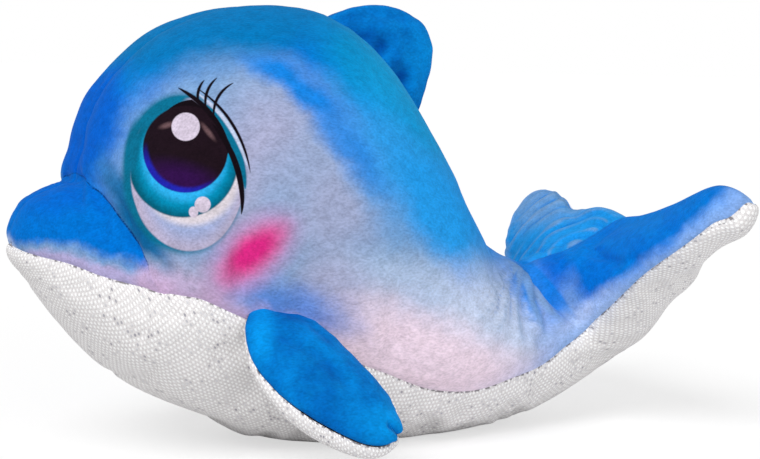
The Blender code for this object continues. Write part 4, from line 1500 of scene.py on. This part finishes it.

# %% [markdown]
# The fins are cut from plain deep blue plush with only a slight mottle. A painted highlight makes it
# lighter at a few places that face the light, and painted shade makes it darker in its folds and at
# its seams.

# %% Fin plush
FIN_BLUE, FIN_LIGHT, FIN_FOLD_SHADE = linear(2, 96, 174), linear(4, 122, 200), linear(0, 66, 150)
FIN_PAINTED_HIGHLIGHT, FIN_HIGHLIGHT_SOFTNESS, FIN_HIGHLIGHT_STRENGTH = linear(6, 148, 226), 0.9, 0.75
# Centre and half size in photo pixels, and turn in degrees, of each painted highlight.
FIN_HIGHLIGHT_PLACES = (((432, 64), (22, 44), 10), ((388, 426), (20, 26), 40), ((262, 330), (12, 22), 0))
# Mottle: size in millimetres, detail and roughness of the noise, and its range.
MOTTLE, MOTTLE_RANGE = (26.0, 4.0, 0.6), (0.34, 0.66)
FIN_SHADE_MM, FIN_SHADE_STRENGTH = (0.4, -3.4), 0.9


def fin_plush():
    """Deep blue plush with a light mottle, painted highlights, and painted shade in its folds and at
    its seams.
    """
    material, tree, shader = new_cloth("fin_plush")
    patches = cloth_noise(tree, object_mm(tree), *MOTTLE)
    colour = painted(tree, FIN_BLUE, FIN_LIGHT, feather(tree, patches, *MOTTLE_RANGE))
    place = photo_pixels(tree)
    # Painted highlights: lighter blue where the fins face the lamp.
    for lit_place in FIN_HIGHLIGHT_PLACES:
        colour = wash(tree, colour, place, FIN_PAINTED_HIGHLIGHT, *lit_place, FIN_HIGHLIGHT_SOFTNESS, FIN_HIGHLIGHT_STRENGTH)
    height = map_part(tree, "Folds", "X", FOLD_MAP_MM)
    # Painted shade: darker blue in the folds and along the seams of the fins.
    deep = feather(tree, height, *FIN_SHADE_MM, 0.0, FIN_SHADE_STRENGTH)
    finish_plush(tree, shader, painted(tree, colour, FIN_FOLD_SHADE, deep))
    return material


fin_cloth = fin_plush()
for piece in dorsal_pieces + top_pieces:
    piece.data.materials.append(fin_cloth)
print("fin plush on", len(dorsal_pieces + top_pieces), "pieces")

# %% [markdown]
# The belly is a smooth knit with small round dots of silver foil, 2.56 mm apart in rows that lie
# like bricks. The foil is a mirror, so each dot shows bright or dark with the way it happens to
# lie, and here a number for each dot decides that. The dots come from the cloth's own map.

# %% Foil-dot knit
DOT_PITCH_MM, DOT_SHARE, DOT_SOFTNESS = 2.56, 0.30, 0.3
KNIT_WHITE, KNIT_SHADE, THREAD = linear(230, 227, 227), linear(202, 199, 200), linear(86, 80, 88)
FOIL_BRIGHT, FOIL_DARK, FOIL_METAL = linear(255, 255, 255), linear(158, 156, 165), 0.15
KNIT_ROUGHNESS, FOIL_ROUGHNESS = 0.85, 0.3
# Dark dots come in patches: size and detail, weight beside chance, and the sum that is dark.
DARK_PATCHES, PATCH_WEIGHT, DARK_ABOVE = (18.0, 3.0), 0.8, (1.2, 1.45)
# Stitches of the knit: size and detail, range, share in the bump, and strength and depth of it.
KNIT_STITCHES, KNIT_RANGE, KNIT_SHARE, KNIT_BUMP = (0.7, 2.0), (0.35, 0.75), 0.5, (0.5, 0.0003)
# Thread in the seam: length of its dashes, range, and how far from the seam they show.
THREAD_MM, THREAD_RANGE, THREAD_STRENGTH = 2.2, (0.50, 0.62), 0.8
THREAD_REACH_MM = (1.3, 0.5)


def dot_cells(tree):
    """Places within brick-laid cells, one cell to a dot, and the number of each cell."""
    flat_map = add_node(tree, "ShaderNodeUVMap", uv_map="Cloth").outputs[0]
    cells = scaled(tree, flat_map, KNIT_MAP_MM / DOT_PITCH_MM)
    parts = add_node(tree, "ShaderNodeSeparateXYZ", {0: cells}).outputs
    line = calculate(tree, "FLOOR", parts["Y"])
    shift = both(tree, calculate(tree, "MODULO", line, 2.0), 0.5)
    column = calculate(tree, "ADD", parts["X"], shift)
    brick = add_node(tree, "ShaderNodeCombineXYZ", {"X": column, "Y": parts["Y"]}).outputs[0]
    cell = vector_math(tree, "FLOOR", brick)
    return vector_math(tree, "SUBTRACT", brick, cell), cell


def seam_stitches(tree):
    """Mask of the thread that shows as short dark dashes along the seam."""
    to_seam = map_part(tree, "Folds", "Y", KNIT_MAP_MM)
    dashes = cloth_noise(tree, object_mm(tree), THREAD_MM, 0.0)
    return both(tree, feather(tree, to_seam, *THREAD_REACH_MM),
                feather(tree, dashes, *THREAD_RANGE, 0.0, THREAD_STRENGTH))


def foil_dot_knit():
    """Off-white knit with a brick pattern of foil dots."""
    material, tree, shader = new_cloth("foil_dot_knit")
    in_cell, cell = dot_cells(tree)
    dot = spot(tree, in_cell, (0.5, 0.5), (DOT_SHARE, DOT_SHARE), 0.0, DOT_SOFTNESS)
    luck = add_node(tree, "ShaderNodeTexWhiteNoise", {"Vector": cell},
                    noise_dimensions="2D").outputs["Value"]
    patches = cloth_noise(tree, object_mm(tree), *DARK_PATCHES)
    chance = calculate(tree, "ADD", luck, both(tree, patches, PATCH_WEIGHT))
    foil = painted(tree, FOIL_BRIGHT, FOIL_DARK, feather(tree, chance, *DARK_ABOVE))
    stitches = cloth_noise(tree, object_mm(tree), *KNIT_STITCHES)
    knit = painted(tree, KNIT_WHITE, KNIT_SHADE, feather(tree, stitches, *KNIT_RANGE))
    colour = painted(tree, painted(tree, knit, foil, dot), THREAD, seam_stitches(tree))
    height = calculate(tree, "ADD", both(tree, stitches, KNIT_SHARE), dot)
    roughness = feather(tree, dot, 0.0, 1.0, KNIT_ROUGHNESS, FOIL_ROUGHNESS)
    tree.links.new(colour, shader.inputs["Base Color"])
    tree.links.new(both(tree, dot, FOIL_METAL), shader.inputs["Metallic"])
    tree.links.new(roughness, shader.inputs["Roughness"])
    tree.links.new(bump(tree, height, *KNIT_BUMP), shader.inputs["Normal"])
    return material


knit_cloth = foil_dot_knit()
for piece in [belly] + under_pieces:
    piece.data.materials.append(knit_cloth)
print("foil dots every", DOT_PITCH_MM, "mm on", 1 + len(under_pieces), "pieces")

# %% [markdown]
# The stage is a plain white floor under soft studio light: an even sky from all sides, one broad
# lamp far off at the upper left, and a weaker one low in front, which brightens the belly. All
# light the floor the same everywhere, so it meets the white background without a line, and only
# the dolphin's soft shadow shows on it.

# %% Stage and light
SKY = 0.52
# Name, direction that the light comes from, and strength of each lamp.
LAMPS = (("high_left", (-0.70, -0.62, 1.0), 1.8), ("low_front", (0.15, -1.0, 0.16), 0.75))
LAMP_SIZE = math.radians(35.0)
# The floor is paler to the light that it throws back than to the camera, where a glow helps it.
FLOOR_BOUNCE, FLOOR_SEEN, FLOOR_GLOW = 0.8, 0.4, 0.62
FLOOR_CORNERS = [(-9, -6, 0), (9, -6, 0), (9, 40, 0), (-9, 40, 0)]
WHITE = (1.0, 1.0, 1.0, 1.0)


def studio_world():
    """Even soft sky that the camera sees as white."""
    world = bpy.data.worlds.new("studio")
    world.use_nodes = True
    tree = world.node_tree
    seen = add_node(tree, "ShaderNodeLightPath").outputs["Is Camera Ray"]
    strength = feather(tree, seen, 0.0, 1.0, SKY, 1.0)
    tree.links.new(strength, tree.nodes["Background"].inputs["Strength"])
    tree.nodes["Background"].inputs["Color"].default_value = WHITE
    bpy.context.scene.world = world


def pale_floor():
    """Floor that is white to the camera and keeps the soft shadow."""
    mesh = bpy.data.meshes.new("floor")
    mesh.from_pydata(FLOOR_CORNERS, [], [(0, 1, 2, 3)])
    floor = bpy.data.objects.new("floor", mesh)
    bpy.context.scene.collection.objects.link(floor)
    material, tree, shader = new_cloth("pale_floor")
    shader.inputs["Roughness"].default_value = 1.0
    shader.inputs["Specular IOR Level"].default_value = 0.0
    shader.inputs["Emission Color"].default_value = WHITE
    seen = add_node(tree, "ShaderNodeLightPath").outputs["Is Camera Ray"]
    tree.links.new(feather(tree, seen, 0.0, 1.0, FLOOR_BOUNCE, FLOOR_SEEN),
                   shader.inputs["Base Color"])
    tree.links.new(both(tree, seen, FLOOR_GLOW), shader.inputs["Emission Strength"])
    mesh.materials.append(material)


def broad_lamp(name, source, strength):
    """Far lamp with a wide face, for soft shadows."""
    lamp = bpy.data.objects.new(name, bpy.data.lights.new(name, "SUN"))
    bpy.context.scene.collection.objects.link(lamp)
    lamp.data.energy, lamp.data.angle = strength, LAMP_SIZE
    lamp.rotation_euler = (-Vector(source)).to_track_quat("-Z", "Y").to_euler()


studio_world()
pale_floor()
for lamp_name, source, strength in LAMPS:
    broad_lamp(lamp_name, source, strength)
bpy.context.scene.view_settings.view_transform = "Standard"
print("sky", SKY, "and", len(LAMPS), "lamps")
